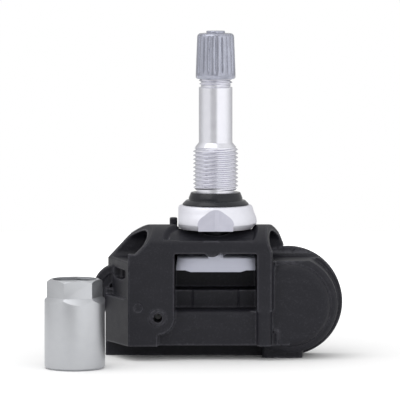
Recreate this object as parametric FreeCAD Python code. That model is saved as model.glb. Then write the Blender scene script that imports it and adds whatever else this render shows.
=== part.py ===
import FreeCAD, Part
import math
import os

from FreeCAD import Placement, Rotation, Vector

# Tyre pressure sensor with an angle-adjustable clamp-in valve, in millimetres.
# X runs along the housing towards the battery drum, Y towards the back cover, Z up.
# Heights start at the surface the sensor stands on. While it is modelled, X = Y = 0 is
# the valve's axis. On export everything moves so that the origin is on the underside of
# the base flange, straight below the valve in X.

# Housing, along X
WINDOW_HALF = 9.45
POST_WIDTH = 3.4
PANEL_WIDTH = 10.65
LEFT_FOOT_WIDTH = 5.5
PORT_INSET = 3.85
DOT_INSET = 2.3

# Housing, along Y
PANEL_FRONT_Y = -8.7
WALL_FRONT_Y = -6.6
FLANGE_FRONT_Y = 3.2
COVER_FRONT_Y = 6.6
COVER_THICK = 1.4

# Housing, along Z
BELLY_Z = 3.4
SILL_Z = 11.5
LEDGE_Z = 14.3
SILL_ROUND = 1.2
BACK_STEP_Z = 15.7
LEFT_FLANGE_TOP_Z = 22.4
POCKET_FLOOR_Z = 22.8
WINDOW_TOP_Z = 24.7
DISH_FLOOR_Z = 27.8
PORT_Z = 10.0
DOT_Z = 12.3

# Arch over the window, and the slopes that end it (millimetres of X per millimetre)
ARCH_R = 12.8
ARCH_CENTRE_Z = 18.0
ARCH_WALL = 1.5
ARCH_EDGE_ROUND = 1.6
LEFT_SLOPE_FOOT_Z = 22.5
LEFT_SLOPE = 0.93
LEFT_LEAN = 0.30
RIGHT_SLOPE = 0.38
RIGHT_LEAN = 0.20
RIGHT_SLOPE_FOOT_Z = 25.0
WALL = 1.2

# Tilting seat of the valve: one axis along X carries the clamp bar and the collar
TILT_Z = 16.0
TILT_LIMIT_DEG = 8.0
SEAT_R = 13.1
SEAT_GAP = 0.2
BAR_R = 9.0
BAR_FIT = 0.08
BAR_HALF_DEPTH = 4.5
BAR_BOTTOM_Z = 20.6
SPIGOT_R = 3.0
SPIGOT_GAP = 0.3
BAR_END_GAP = 0.3
BAR_TOP_ROUND = 1.1
BAR_END_SLANT = 0.65
BAR_BELLY = 0.4
BAR_BELLY_HALF = 5.75
BAR_BELLY_SLOPE = 1.3
BOSS_HALF = 2.5
BOSS_TOP_Z = 24.5
BOSS_CHAMFER = 0.8

# Lug under the front edge of the arch, and the block at the foot of the rear wall
LUG_X = -0.85
LUG_R = 2.2
LUG_DROP = 0.7
LUG_DEPTH = 2.3
MID_HALF = 5.35
MID_FRONT_Y = -0.3

# Dish round the collar: half widths at its floor, on the valve's axis and at the edges
DISH_LEFT = 6.5
DISH_LEFT_EDGE = 12.5
DISH_RIGHT = 6.6
DISH_RIGHT_EDGE = 9.0
DISH_DRAFT = 0.85

# Peg that stops the collar from turning
PEG_R = 0.9
PEG_Y = 3.3
PEG_TOP_Z = 32.2
PEG_GAP = 0.3

# Battery drum and its cell
DRUM_INSET = 7.45
RIM_R = 12.6
RIM_LIP = 0.7
DRUM_R = 11.4
PLATEAU_R = 10.5
PLATEAU_Y = -4.5
FACE_R = 7.7
FACE_Y = -6.6
SHOULDER_R = 9.5
CELL_R = 8.0
CELL_THICK = 3.2
CELL_FRONT_Y = -3.1
CELL_GAP = 0.2
DRUM_Z = RIM_R

# Foot pad under the drum
PAD_LEFT_REACH = 6.15
PAD_RIGHT_REACH = 3.3
PAD_FRONT_Y = -2.2
PAD_HEIGHT = 1.6
PAD_ROUND = 1.2

# Eyelet behind the left end
EYE_INSET = 3.1
EYE_Z = 15.3
EYE_R = 6.0
EYE_HOLE_R = 4.2
EYE_THICK = 3.0

# Pressure port
PORT_R = 1.0
PORT_RING_R = 1.9
PORT_RING_HEIGHT = 0.4
PORT_BOSS_R = 3.9
PORT_TUBE_R = 2.4
FILTER_R = 1.4
FILTER_THICK = 0.8
SEAL_THICK = 1.0
DOT_R = 1.05
DOT_DEPTH = 0.3

# Circuit board and what it carries
BOARD_FRONT_Y = 2.2
BOARD_THICK = 1.0
BOARD_GAP = 0.15
BOARD_SEAT = 0.45
CHIP_SIZE = 4.0
CHIP_THICK = 2.0
SEAL_INSET = 0.4
CRYSTAL_LENGTH = 3.2
CRYSTAL_WIDTH = 2.5
CRYSTAL_THICK = 0.8
PASSIVE_LENGTH = 1.6
PASSIVE_WIDTH = 0.8
PASSIVE_THICK = 0.6
PASSIVE_PITCH = 2.6
PASSIVE_RISE = 1.8
COIL_LENGTH = 7.4
COIL_SIZE = 3.0
COIL_FLANGE = 1.0
COIL_Z = 17.6
TAB_THICK = 0.15
TAB_WIDTH = 3.0
TAB_DROP = 4.8

# Valve stem, from the collar up
COLLAR_BOTTOM_R = 7.4
COLLAR_R = 9.5
COLLAR_TOP_R = 8.4
COLLAR_CREASE_R = 8.75
COLLAR_FLAT = 8.55
COLLAR_HEIGHT = 6.1
COLLAR_CHAMFER = 2.1
COLLAR_CREASE = 4.2
LAND_HALF = 4.0
NECK_R = 4.5
NECK_HEIGHT = 3.5
RELIEF_R = 4.3
RELIEF_HEIGHT = 0.5
SHANK_R = 5.18
SHANK_HEIGHT = 9.3
SHANK_CHAMFER = 0.4
TAPER_HEIGHT = 1.1
BARREL_R = 3.87
BARREL_HEIGHT = 12.8
TIP_R = 3.85
TIP_HEIGHT = 10.2
TIP_CHAMFER = 0.4

# Air passage and the valve core in it
PASSAGE_R = 1.3
CORE_BORE_R = 2.62
CORE_BORE_DEPTH = 13.9
CORE_BODY_TOP_DROP = 1.5
CORE_HEAD_R = 2.6
CORE_HEAD_HEIGHT = 3.2
CORE_NECK_R = 1.9
CORE_BODY_LENGTH = 8.4
CORE_HOLE_R = 1.0
CORE_SLOT = 1.0
CORE_SEAL_DROP = 5.0
CORE_SEAL_HEIGHT = 1.4
PIN_R = 0.55
PIN_FLANGE_R = 1.6
PIN_FLANGE_THICK = 0.6
PIN_TOP_DROP = 0.6
PIN_TRAVEL = 1.5
CUP_SEAL_THICK = 0.4
SPRING_WIRE_R = 0.15
SPRING_R = 1.55
SPRING_TURNS = 4
SPRING_STEPS = 12

# Rubber grommet on the neck
GROMMET_HEIGHT = 2.9
GROMMET_BASE_R = 7.65
GROMMET_FLANGE_R = 6.8
GROMMET_FLANGE_HEIGHT = 1.1
GROMMET_STEP_R = 6.2
GROMMET_TOP_R = 5.7

# Screwed cap and its seal
CAP_OUT_R = 4.58
CAP_TOP_R = 4.25
CAP_HEIGHT = 10.5
CAP_DROP = 8.3
CAP_ROUND = 0.85
CAP_KNOB_R = 2.15
CAP_KNOB_HEIGHT = 0.55
CAP_FIT = 0.10
CAP_EDGE = 0.22
CAP_MOUTH_R = 4.18
CAP_MOUTH_HEIGHT = 1.1
CAP_BAND = 1.2
CAP_SEAL_R = 3.6
CAP_SEAL_THICK = 1.0
CAP_SEAL_FIT = 0.08
CAP_SEAL_GAP = 0.1
CAP_FLUTES = 18
CAP_FLUTE_HALF = 0.95
CAP_FLUTE_DEPTH = 0.26

# Retaining nut, standing beside the sensor
NUT_X = -31.9
NUT_Y = -20.0
NUT_R = 6.85
NUT_HEIGHT = 20.2
NUT_HEX = 11.0
NUT_HEX_TURN = 40.0
NUT_HEX_HEIGHT = 4.0
NUT_BORE_R = 4.72
NUT_CHAMFER = 0.5

# Worked out from the sizes above
BACK_Y = COVER_FRONT_Y + COVER_THICK
FLANGE_MID_Y = (FLANGE_FRONT_Y + COVER_FRONT_Y) / 2
POST_RIGHT_X = WINDOW_HALF + POST_WIDTH
PANEL_LEFT_X = -WINDOW_HALF - PANEL_WIDTH
BODY_LEFT_X = PANEL_LEFT_X - LEFT_FOOT_WIDTH
PORT_X = -WINDOW_HALF - PORT_INSET
DOT_X = PANEL_LEFT_X + DOT_INSET
EYE_X = BODY_LEFT_X + EYE_INSET
DRUM_X = WINDOW_HALF + DRUM_INSET
BAR_HALF_LENGTH = WINDOW_HALF - BAR_END_GAP
REAR_WALL_Y = COVER_FRONT_Y - WALL / 2
TAB_TOP_Z = DRUM_Z - TAB_DROP
COLLAR_Z = TILT_Z + SEAT_R + SEAT_GAP
NECK_Z = COLLAR_Z + COLLAR_HEIGHT
RELIEF_Z = NECK_Z + NECK_HEIGHT
SHANK_Z = RELIEF_Z + RELIEF_HEIGHT
TAPER_Z = SHANK_Z + SHANK_HEIGHT
BARREL_Z = TAPER_Z + TAPER_HEIGHT
TIP_Z = BARREL_Z + BARREL_HEIGHT
STEM_TOP_Z = TIP_Z + TIP_HEIGHT
CORE_FLOOR_Z = STEM_TOP_Z - CORE_BORE_DEPTH
CORE_TOP_Z = STEM_TOP_Z - CORE_BODY_TOP_DROP
CORE_FOOT_Z = CORE_TOP_Z - CORE_BODY_LENGTH
BOARD_BACK_Y = BOARD_FRONT_Y + BOARD_THICK
CHIP_FRONT_Y = BOARD_FRONT_Y - CHIP_THICK
CELL_BACK_Y = CELL_FRONT_Y + CELL_THICK
CELL_X = WINDOW_HALF + WALL + CELL_GAP + CELL_R
OVER = 1.0
FAR = 100.0


# Simple solids

def block(x0, x1, y0, y1, z0, z1):
    return Part.makeBox(x1 - x0, y1 - y0, z1 - z0, Vector(x0, y0, z0))


def face_of(points):
    return Part.Face(Part.makePolygon(points + points[:1]))


def prism_along_x(points, x0, x1):
    return face_of([Vector(x0, y, z) for y, z in points]).extrude(Vector(x1 - x0, 0, 0))


def prism_along_y(points, y0, y1):
    return face_of([Vector(x, y0, z) for x, z in points]).extrude(Vector(0, y1 - y0, 0))


def prism_along_z(points, z0, z1):
    return face_of([Vector(x, y, z0) for x, y in points]).extrude(Vector(0, 0, z1 - z0))


def rod_along_x(radius, x0, x1, z):
    return Part.makeCylinder(radius, x1 - x0, Vector(x0, 0, z), Vector(1, 0, 0))


def rod_along_y(radius, y0, y1, x, z):
    return Part.makeCylinder(radius, y1 - y0, Vector(x, y0, z), Vector(0, 1, 0))


def rod_along_z(radius, z0, z1, x=0.0, y=0.0):
    return Part.makeCylinder(radius, z1 - z0, Vector(x, y, z0), Vector(0, 0, 1))


def sloped_block(low, high):
    """A solid between two level outlines with as many corners, its sides flat."""
    faces = [face_of(low), face_of(high)]
    count = len(low)
    for i in range(count):
        j = (i + 1) % count
        faces.append(face_of([low[i], low[j], high[j], high[i]]))
    return Part.Solid(Part.Shell(faces))


def turned(profile):
    """A solid turned about the valve's axis from (radius, height) points."""
    return face_of([Vector(r, 0, z) for r, z in profile]).revolve(Vector(0, 0, 0), Vector(0, 0, 1), 360)


def ring_along_z(outer, inner, z0, z1):
    return rod_along_z(outer, z0, z1).cut(rod_along_z(inner, z0 - OVER, z1 + OVER))


def rounded(solid, radius, chosen):
    """The solid with each edge that the function chosen picks rounded."""
    return solid.makeFillet(radius, [edge for edge in solid.Edges if chosen(edge)])


def runs_along(edge, axis):
    ends = [vertex.Point for vertex in edge.Vertexes]
    if len(ends) < 2:
        return False
    along = ends[1] - ends[0]
    return along.Length > 1e-6 and abs(along.normalize().dot(axis)) > 0.999


# Housing

def left_x(y, z):
    """The sloped left end of the arch, at a depth and a height."""
    return PANEL_LEFT_X + LEFT_SLOPE * (z - LEFT_SLOPE_FOOT_Z) - LEFT_LEAN * (y - PANEL_FRONT_Y)


def right_x(y, z):
    """The sloped right end of the arch, at a depth and a height."""
    return POST_RIGHT_X - RIGHT_SLOPE * (z - RIGHT_SLOPE_FOOT_Z) + RIGHT_LEAN * (y - PANEL_FRONT_Y)


def left_foot_x(y, z):
    """The wall below the left slope, upright at any height."""
    return left_x(y, LEFT_SLOPE_FOOT_Z)


def right_foot_x(y, z):
    """The wall below the right slope, upright at any height."""
    return right_x(y, RIGHT_SLOPE_FOOT_Z)


def half_space(x_of, z0, z1, outward):
    """Everything past a leaning end plane between two heights, outward being -1 or 1."""
    y0, y1 = PANEL_FRONT_Y - OVER, BACK_Y + OVER
    outlines = []
    for z in (z0, z1):
        near = [Vector(x_of(y, z), y, z) for y in (y0, y1)]
        far = [Vector(outward * FAR, y, z) for y in (y1, y0)]
        outlines.append(near + far)
    return sloped_block(*outlines)


def arch_block():
    """The arched upper body before anything is cut from it."""
    rise = math.sqrt(ARCH_R ** 2 - PANEL_FRONT_Y ** 2)
    back_rise = math.sqrt(ARCH_R ** 2 - BACK_Y ** 2)
    x0 = -FAR / 2
    front = Vector(x0, PANEL_FRONT_Y, ARCH_CENTRE_Z + rise)
    crown = Vector(x0, 0, ARCH_CENTRE_Z + ARCH_R)
    back = Vector(x0, BACK_Y, ARCH_CENTRE_Z + back_rise)
    foot_back = Vector(x0, BACK_Y, SILL_Z)
    foot_front = Vector(x0, PANEL_FRONT_Y, SILL_Z)
    edges = [Part.Arc(front, crown, back).toShape()]
    for start, end in ((back, foot_back), (foot_back, foot_front), (foot_front, front)):
        edges.append(Part.LineSegment(start, end).toShape())
    solid = Part.Face(Part.Wire(edges)).extrude(Vector(FAR, 0, 0))
    top = ARCH_CENTRE_Z
    return rounded(solid, ARCH_EDGE_ROUND,
                   lambda edge: runs_along(edge, Vector(1, 0, 0)) and edge.CenterOfMass.z > top)


def upper_body():
    """The arch with its sloped ends and the steep wall below each."""
    body = arch_block()
    body = body.cut(half_space(left_x, LEFT_SLOPE_FOOT_Z, PEG_TOP_Z, -1))
    body = body.cut(half_space(left_foot_x, SILL_Z - OVER, LEFT_SLOPE_FOOT_Z, -1))
    body = body.cut(half_space(right_x, RIGHT_SLOPE_FOOT_Z, PEG_TOP_Z, 1))
    return body.cut(half_space(right_foot_x, SILL_Z - OVER, RIGHT_SLOPE_FOOT_Z, 1))


def is_sill_edge(edge):
    """Whether an edge is the sill's front top edge, under the window."""
    middle = edge.CenterOfMass
    at_top = abs(middle.z - SILL_Z) < 1e-3
    return at_top and abs(middle.y - WALL_FRONT_Y) < 1e-3 and runs_along(edge, Vector(1, 0, 0))


def lower_body():
    """The box under the window, with its leaning left side."""
    plan = [(PANEL_LEFT_X, PANEL_FRONT_Y), (PORT_X, PANEL_FRONT_Y), (PORT_X, WALL_FRONT_Y),
            (DRUM_X, WALL_FRONT_Y), (DRUM_X, COVER_FRONT_Y), (BODY_LEFT_X, COVER_FRONT_Y),
            (BODY_LEFT_X, FLANGE_FRONT_Y)]
    low = prism_along_z(plan, BELLY_Z, SILL_Z)
    low = rounded(low, SILL_ROUND, is_sill_edge)
    ledge = [point for point in plan if point[0] < PORT_X]
    ledge += [(PORT_X, COVER_FRONT_Y), (PORT_X, PANEL_FRONT_Y)]
    order = [ledge[0], ledge[-1], ledge[-2], ledge[1], ledge[2]]
    return low.fuse(prism_along_z(order, SILL_Z - OVER, LEDGE_Z))


def front_panel():
    """The plate round the pressure port, proud of the wall under the window."""
    back_y = WALL_FRONT_Y + SILL_ROUND + OVER
    boss = rod_along_y(PORT_BOSS_R, PANEL_FRONT_Y, back_y, PORT_X, PORT_Z)
    plate = block(PANEL_LEFT_X, -WINDOW_HALF, PANEL_FRONT_Y, back_y, PORT_Z, WINDOW_TOP_Z)
    leg = block(PANEL_LEFT_X, PORT_X, PANEL_FRONT_Y, back_y, BELLY_Z, PORT_Z)
    return plate.fuse([leg, boss])


def post():
    """The upright between the window and the drum."""
    solid = block(WINDOW_HALF, POST_RIGHT_X, PANEL_FRONT_Y, FLANGE_FRONT_Y, BELLY_Z, WINDOW_TOP_Z + OVER)
    return rounded(solid, WALL, lambda edge: runs_along(edge, Vector(0, 0, 1))
                   and edge.CenterOfMass.y < PANEL_FRONT_Y + OVER)


def drum():
    """The battery drum, turned about an axis along Y."""
    lip_y = FLANGE_FRONT_Y + RIM_LIP
    start = (SHOULDER_R, PLATEAU_Y - CELL_GAP)
    end = (FACE_R, FACE_Y)
    bend = math.sqrt(0.5)
    middle = (end[0] + (start[0] - end[0]) * bend, start[1] + (end[1] - start[1]) * bend)
    profile = [(0, COVER_FRONT_Y), (RIM_R, COVER_FRONT_Y), (RIM_R, lip_y + RIM_LIP / 2),
               (RIM_R - RIM_LIP / 2, lip_y), (RIM_R - RIM_LIP, lip_y), (RIM_R - RIM_LIP, FLANGE_FRONT_Y),
               (DRUM_R, FLANGE_FRONT_Y),
               (DRUM_R - CELL_GAP, PLATEAU_Y + RIM_LIP), (PLATEAU_R, PLATEAU_Y), start]
    points = [Vector(r, y, 0) for r, y in profile]
    edges = [Part.LineSegment(a, b).toShape() for a, b in zip(points, points[1:])]
    tip = Vector(end[0], end[1], 0)
    centre_front = Vector(0, FACE_Y, 0)
    edges.append(Part.Arc(points[-1], Vector(middle[0], middle[1], 0), tip).toShape())
    edges.append(Part.LineSegment(tip, centre_front).toShape())
    edges.append(Part.LineSegment(centre_front, points[0]).toShape())
    solid = Part.Face(Part.Wire(edges)).revolve(Vector(0, 0, 0), Vector(0, 1, 0), 360)
    solid.translate(Vector(DRUM_X, 0, DRUM_Z))
    return solid


def cover_outline(y0, y1, grow):
    """The outline that the base flange and the back cover share, grown by a clearance."""
    low = block(BODY_LEFT_X - grow, DRUM_X, y0, y1, 0 - grow, BACK_STEP_Z + grow)
    left_top = left_x(FLANGE_FRONT_Y, LEFT_SLOPE_FOOT_Z)
    left = block(left_top - grow, -WINDOW_HALF - WALL + grow, y0, y1, OVER, LEFT_FLANGE_TOP_Z + grow)
    disc = rod_along_y(RIM_R + grow, y0, y1, DRUM_X, DRUM_Z)
    return low.fuse([left, disc])


def foot_pad():
    solid = block(DRUM_X - PAD_LEFT_REACH, DRUM_X + PAD_RIGHT_REACH, PAD_FRONT_Y, FLANGE_FRONT_Y, 0,
                  PAD_HEIGHT + OVER)
    return rounded(solid, PAD_ROUND, lambda edge: runs_along(edge, Vector(0, 0, 1))
                   and edge.CenterOfMass.y < PAD_FRONT_Y + OVER)


def eyelet():
    y1 = COVER_FRONT_Y
    ring = rod_along_y(EYE_R, y1 - EYE_THICK, y1, EYE_X, EYE_Z)
    return ring.cut(rod_along_y(EYE_HOLE_R, y1 - EYE_THICK - OVER, y1 + OVER, EYE_X, EYE_Z))


def peg():
    x = -COLLAR_FLAT - PEG_GAP - PEG_R
    stem = rod_along_z(PEG_R, WINDOW_TOP_Z, PEG_TOP_Z, x, PEG_Y)
    return rounded(stem, PEG_R / 4, lambda edge: edge.CenterOfMass.z > PEG_TOP_Z - PEG_R / 4)


def window_space():
    """The space behind the window, down to the sill and back to the rear wall."""
    front_y = PANEL_FRONT_Y - OVER
    high = block(-WINDOW_HALF, WINDOW_HALF, front_y, REAR_WALL_Y, BACK_STEP_Z, WINDOW_TOP_Z)
    low = block(-WINDOW_HALF, WINDOW_HALF, front_y, REAR_WALL_Y - WALL / 2, SILL_Z, BACK_STEP_Z + OVER)
    groove = rod_along_x(BAR_R + BAR_FIT, -WINDOW_HALF, WINDOW_HALF, TILT_Z)
    groove = groove.common(block(-FAR, FAR, -BAR_HALF_DEPTH, BAR_HALF_DEPTH, BACK_STEP_Z, FAR))
    return high.fuse([low, groove])


def spigot_slot():
    """The slot in the arch that the stem's spigot swings in."""
    swing = (SEAT_R + SEAT_GAP) * math.sin(math.radians(TILT_LIMIT_DEG))
    radius = SPIGOT_R + SPIGOT_GAP
    ends = [rod_along_z(radius, BACK_STEP_Z, FAR, 0, side * swing) for side in (-1, 1)]
    return ends[0].fuse([ends[1], block(-radius, radius, -swing, swing, BACK_STEP_Z, FAR)])


def dish():
    """The hollow round the collar, wider towards the front and the back, over a round seat."""
    edge_y = BACK_Y + OVER
    plan = [(-DISH_LEFT, 0), (-DISH_LEFT_EDGE, -edge_y), (DISH_RIGHT_EDGE, -edge_y), (DISH_RIGHT, 0),
            (DISH_RIGHT_EDGE, edge_y), (-DISH_LEFT_EDGE, edge_y)]
    top_z = ARCH_CENTRE_Z + ARCH_R + OVER
    spread = DISH_DRAFT * (top_z - DISH_FLOOR_Z)
    outlines = []
    for z, out in ((DISH_FLOOR_Z, 0), (top_z, spread)):
        outlines.append([Vector(x + math.copysign(out, x), y, z) for x, y in plan])
    seat = rod_along_x(SEAT_R, -FAR, FAR, TILT_Z)
    return sloped_block(*outlines).cut(seat)


def shoulder_pocket(x0, x1):
    """A hollow under one shoulder of the arch, open at the arch's end."""
    radius = ARCH_R - ARCH_WALL
    half = -PANEL_FRONT_Y - ARCH_WALL
    round_part = rod_along_x(radius, x0, x1, ARCH_CENTRE_Z)
    keep = block(x0, x1, -half, BACK_Y - ARCH_WALL, POCKET_FLOOR_Z, FAR)
    pocket = round_part.common(keep)
    return rounded(pocket, ARCH_WALL, lambda edge: runs_along(edge, Vector(1, 0, 0)))


def side_pocket():
    """The wedge-shaped hollow in the left side, under the arch's lip."""
    top_z = POCKET_FLOOR_Z - ARCH_WALL - WALL / 2
    side = [(PANEL_FRONT_Y + WALL / 2, top_z), (PANEL_FRONT_Y + WALL / 2, top_z - WALL),
            (-SPIGOT_R, top_z - 2 * WALL), (FLANGE_FRONT_Y, top_z - 2 * WALL), (FLANGE_FRONT_Y, top_z)]
    return prism_along_x(side, -FAR, PANEL_LEFT_X - WALL / 2)


def board_outline(y0, y1, inset):
    """The circuit board's outline, moved inwards by an inset."""
    low_z, high_z = BELLY_Z + 1.4 * WALL, SILL_Z - WALL
    strip = block(BODY_LEFT_X + 4 * WALL + inset, DRUM_X, y0, y1, low_z + inset, high_z - inset)
    left = block(PANEL_LEFT_X - WALL / 2 + inset, -WINDOW_HALF - WALL - inset, y0, y1,
                 low_z + inset, POCKET_FLOOR_Z - 2 * WALL - inset)
    disc = rod_along_y(CELL_R + BOARD_SEAT - inset, y0, y1, CELL_X, DRUM_Z)
    return strip.fuse([left, disc])


def electronics_space():
    """The closed room behind the front wall: a seat for the board and a deeper part."""
    wide = board_outline(BOARD_FRONT_Y, COVER_FRONT_Y + OVER, -BOARD_GAP)
    narrow = BOARD_SEAT
    strip = board_outline(WALL_FRONT_Y + WALL, BOARD_FRONT_Y + OVER, narrow)
    strip = strip.common(block(-FAR, CELL_GAP, -FAR, FAR, 0, SILL_Z - WALL))
    left = board_outline(WALL_FRONT_Y + WALL, BOARD_FRONT_Y + OVER, narrow)
    left = left.common(block(-FAR, -WINDOW_HALF, -FAR, FAR, 0, FAR))
    link = board_outline(CELL_FRONT_Y - 2 * TAB_THICK, BOARD_FRONT_Y + OVER, narrow)
    cell = rod_along_y(CELL_R + CELL_GAP, CELL_FRONT_Y, BOARD_FRONT_Y + OVER, CELL_X, DRUM_Z)
    link = link.common(block(0, CELL_X - CELL_R / 2, -FAR, FAR, 0, FAR))
    return wide.fuse([strip, left, link, cell, tab_space()])


def tab_reach():
    """Where the positive tab passes the can's edge, on its left, and where its foot ends."""
    edge_x = CELL_X - math.sqrt(CELL_R ** 2 - TAB_DROP ** 2) - CELL_GAP
    return edge_x, edge_x - TAB_WIDTH / 2


def tab_space():
    """The room for the positive tab, from in front of the can to the board."""
    edge_x, foot_x = tab_reach()
    return block(foot_x - CELL_GAP, edge_x + TAB_WIDTH + CELL_GAP, CELL_FRONT_Y - 2 * TAB_THICK,
                 BOARD_FRONT_Y + OVER, TAB_TOP_Z - TAB_WIDTH / 2 - CELL_GAP, TAB_TOP_Z + CELL_GAP)


def port_tube():
    """The tube that leads from the pressure port to the sensor's seal."""
    return rod_along_y(PORT_TUBE_R, PANEL_FRONT_Y, CHIP_FRONT_Y - SEAL_THICK, PORT_X, PORT_Z)


def port_hole():
    end_y = CHIP_FRONT_Y - SEAL_THICK
    hole = rod_along_y(PORT_R, PANEL_FRONT_Y - OVER, end_y + OVER, PORT_X, PORT_Z)
    return hole.fuse(rod_along_y(FILTER_R, end_y - FILTER_THICK, end_y + OVER, PORT_X, PORT_Z))


def panel_marks():
    """The raised ring round the port."""
    return rod_along_y(PORT_RING_R, PANEL_FRONT_Y - PORT_RING_HEIGHT, PANEL_FRONT_Y + OVER, PORT_X, PORT_Z)


def mid_block():
    """The block that stands in front of the rear wall, in the middle of the window's foot."""
    solid = block(-MID_HALF, MID_HALF, MID_FRONT_Y, COVER_FRONT_Y, SILL_Z - OVER, BACK_STEP_Z)
    return rounded(solid, WALL / 3, lambda edge: edge.CenterOfMass.y < MID_FRONT_Y + WALL
                   and edge.CenterOfMass.z > SILL_Z)


def window_lug():
    """The small round lug that hangs from the front edge of the arch."""
    z = WINDOW_TOP_Z + LUG_R - LUG_DROP
    return rod_along_y(LUG_R, PANEL_FRONT_Y, PANEL_FRONT_Y + LUG_DEPTH, LUG_X, z)


def drum_hook():
    """The small hooked rib on the drum beside the post's foot."""
    x0 = POST_RIGHT_X + WALL / 3
    leg = block(x0 + WALL / 2, x0 + WALL, FACE_Y - WALL / 3, PLATEAU_Y + OVER, BELLY_Z + WALL / 2,
                BELLY_Z + 3 * WALL)
    return leg.fuse(block(x0, x0 + WALL, FACE_Y - WALL / 3, PLATEAU_Y + OVER, BELLY_Z + 2.4 * WALL,
                          BELLY_Z + 3 * WALL))


def housing():
    body = upper_body()
    body = body.fuse([lower_body(), front_panel(), post(), drum()])
    body = body.fuse([cover_outline(FLANGE_FRONT_Y, COVER_FRONT_Y, 0), foot_pad(), eyelet(), drum_hook()])
    body = body.cut(window_space())
    body = body.fuse([mid_block(), window_lug()])
    body = body.cut(cover_outline(COVER_FRONT_Y, BACK_Y + OVER, BOARD_GAP / 2))
    inner = WINDOW_HALF + WALL
    body = body.cut([shoulder_pocket(-FAR / 2, -inner), shoulder_pocket(inner, FAR / 2), side_pocket()])
    body = body.cut([dish(), spigot_slot()])
    body = body.fuse([peg(), panel_marks()])
    body = body.cut(electronics_space())
    body = body.fuse(port_tube()).cut(port_hole())
    body = body.cut(rod_along_y(DOT_R, PANEL_FRONT_Y - OVER, PANEL_FRONT_Y + DOT_DEPTH, DOT_X, DOT_Z))
    return body.removeSplitter()


def rear_cover():
    plate = cover_outline(COVER_FRONT_Y, BACK_Y, 0).removeSplitter()
    return rounded(plate, COVER_THICK / 3, lambda edge: edge.CenterOfMass.y > BACK_Y - 1e-3)


# Electronics

def circuit_board():
    return board_outline(BOARD_FRONT_Y, BOARD_BACK_Y, 0).removeSplitter()


def battery_cell():
    """A coin cell: the wide can, and the narrower cap towards the board."""
    step = CELL_THICK / 8
    can = rod_along_y(CELL_R, CELL_FRONT_Y, CELL_BACK_Y - step, CELL_X, DRUM_Z)
    can = rounded(can, step, lambda edge: edge.CenterOfMass.y < CELL_FRONT_Y + step)
    return can.fuse(rod_along_y(CELL_R * 0.88, CELL_BACK_Y - step, CELL_BACK_Y, CELL_X, DRUM_Z))


def battery_tab_positive():
    """Welded to the can's face, bent round its edge and down to the board."""
    edge_x, foot_x = tab_reach()
    out_x = edge_x - TAB_THICK
    front = CELL_FRONT_Y - TAB_THICK
    path = [(edge_x + TAB_WIDTH, CELL_FRONT_Y), (edge_x + TAB_WIDTH, front), (out_x, front),
            (out_x, BOARD_FRONT_Y - TAB_THICK), (foot_x, BOARD_FRONT_Y - TAB_THICK), (foot_x, BOARD_FRONT_Y),
            (edge_x, BOARD_FRONT_Y), (edge_x, CELL_FRONT_Y)]
    return prism_along_z(path, TAB_TOP_Z - TAB_WIDTH / 2, TAB_TOP_Z)


def battery_tab_negative():
    """Welded to the cell's cap and stepped down to the board."""
    x = CELL_X - TAB_WIDTH
    path = [(CELL_X, CELL_BACK_Y), (CELL_X, CELL_BACK_Y + TAB_THICK), (x, CELL_BACK_Y + TAB_THICK),
            (x, BOARD_FRONT_Y), (x - TAB_WIDTH, BOARD_FRONT_Y), (x - TAB_WIDTH, BOARD_FRONT_Y - TAB_THICK),
            (x - TAB_THICK, BOARD_FRONT_Y - TAB_THICK), (x - TAB_THICK, CELL_BACK_Y)]
    return prism_along_z(path, DRUM_Z - TAB_WIDTH / 2, DRUM_Z + TAB_WIDTH / 2)


def sensor_chip():
    half = CHIP_SIZE / 2
    package = block(PORT_X - half, PORT_X + half, CHIP_FRONT_Y, BOARD_FRONT_Y, PORT_Z - half, PORT_Z + half)
    hole_end_y = CHIP_FRONT_Y + CHIP_THICK / 2
    return package.cut(rod_along_y(PORT_R, CHIP_FRONT_Y - OVER, hole_end_y, PORT_X, PORT_Z))


def port_seal():
    ring = rod_along_y(PORT_TUBE_R - SEAL_INSET, CHIP_FRONT_Y - SEAL_THICK, CHIP_FRONT_Y, PORT_X, PORT_Z)
    return ring.cut(rod_along_y(PORT_R, -FAR, FAR, PORT_X, PORT_Z))


def port_filter():
    end_y = CHIP_FRONT_Y - SEAL_THICK
    return rod_along_y(FILTER_R, end_y - FILTER_THICK, end_y, PORT_X, PORT_Z)


def coil_span():
    """Both ends of the receiving coil along X."""
    middle = (PANEL_LEFT_X - WINDOW_HALF - WALL) / 2
    return middle - COIL_LENGTH / 2, middle + COIL_LENGTH / 2


def coil_block(x0, x1, size):
    z0 = COIL_Z - size / 2
    middle_y = BOARD_FRONT_Y - COIL_SIZE / 2
    return block(x0, x1, middle_y - size / 2, middle_y + size / 2, z0, z0 + size)


def coil_core():
    """A ferrite bar with a square flange at each end."""
    x0, x1 = coil_span()
    bar = coil_block(x0, x1, COIL_SIZE - COIL_FLANGE)
    ends = [coil_block(x0, x0 + COIL_FLANGE, COIL_SIZE), coil_block(x1 - COIL_FLANGE, x1, COIL_SIZE)]
    return bar.fuse(ends)


def coil_winding():
    x0, x1 = coil_span()
    x0, x1 = x0 + COIL_FLANGE, x1 - COIL_FLANGE
    wound = coil_block(x0, x1, COIL_SIZE - COIL_FLANGE / 2)
    wound = rounded(wound, COIL_FLANGE / 4, lambda edge: runs_along(edge, Vector(1, 0, 0)))
    return wound.cut(coil_block(x0, x1, COIL_SIZE - COIL_FLANGE))


def board_part(x, z, length, width, height):
    """A small part soldered to the board's front, by its middle."""
    z0, z1 = z - width / 2, z + width / 2
    return block(x - length / 2, x + length / 2, BOARD_FRONT_Y - height, BOARD_FRONT_Y, z0, z1)


def crystal():
    z = (BELLY_Z + SILL_Z) / 2
    x = CRYSTAL_LENGTH / 2 - WINDOW_HALF + WALL
    return board_part(x, z, CRYSTAL_LENGTH, CRYSTAL_WIDTH, CRYSTAL_THICK)


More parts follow.
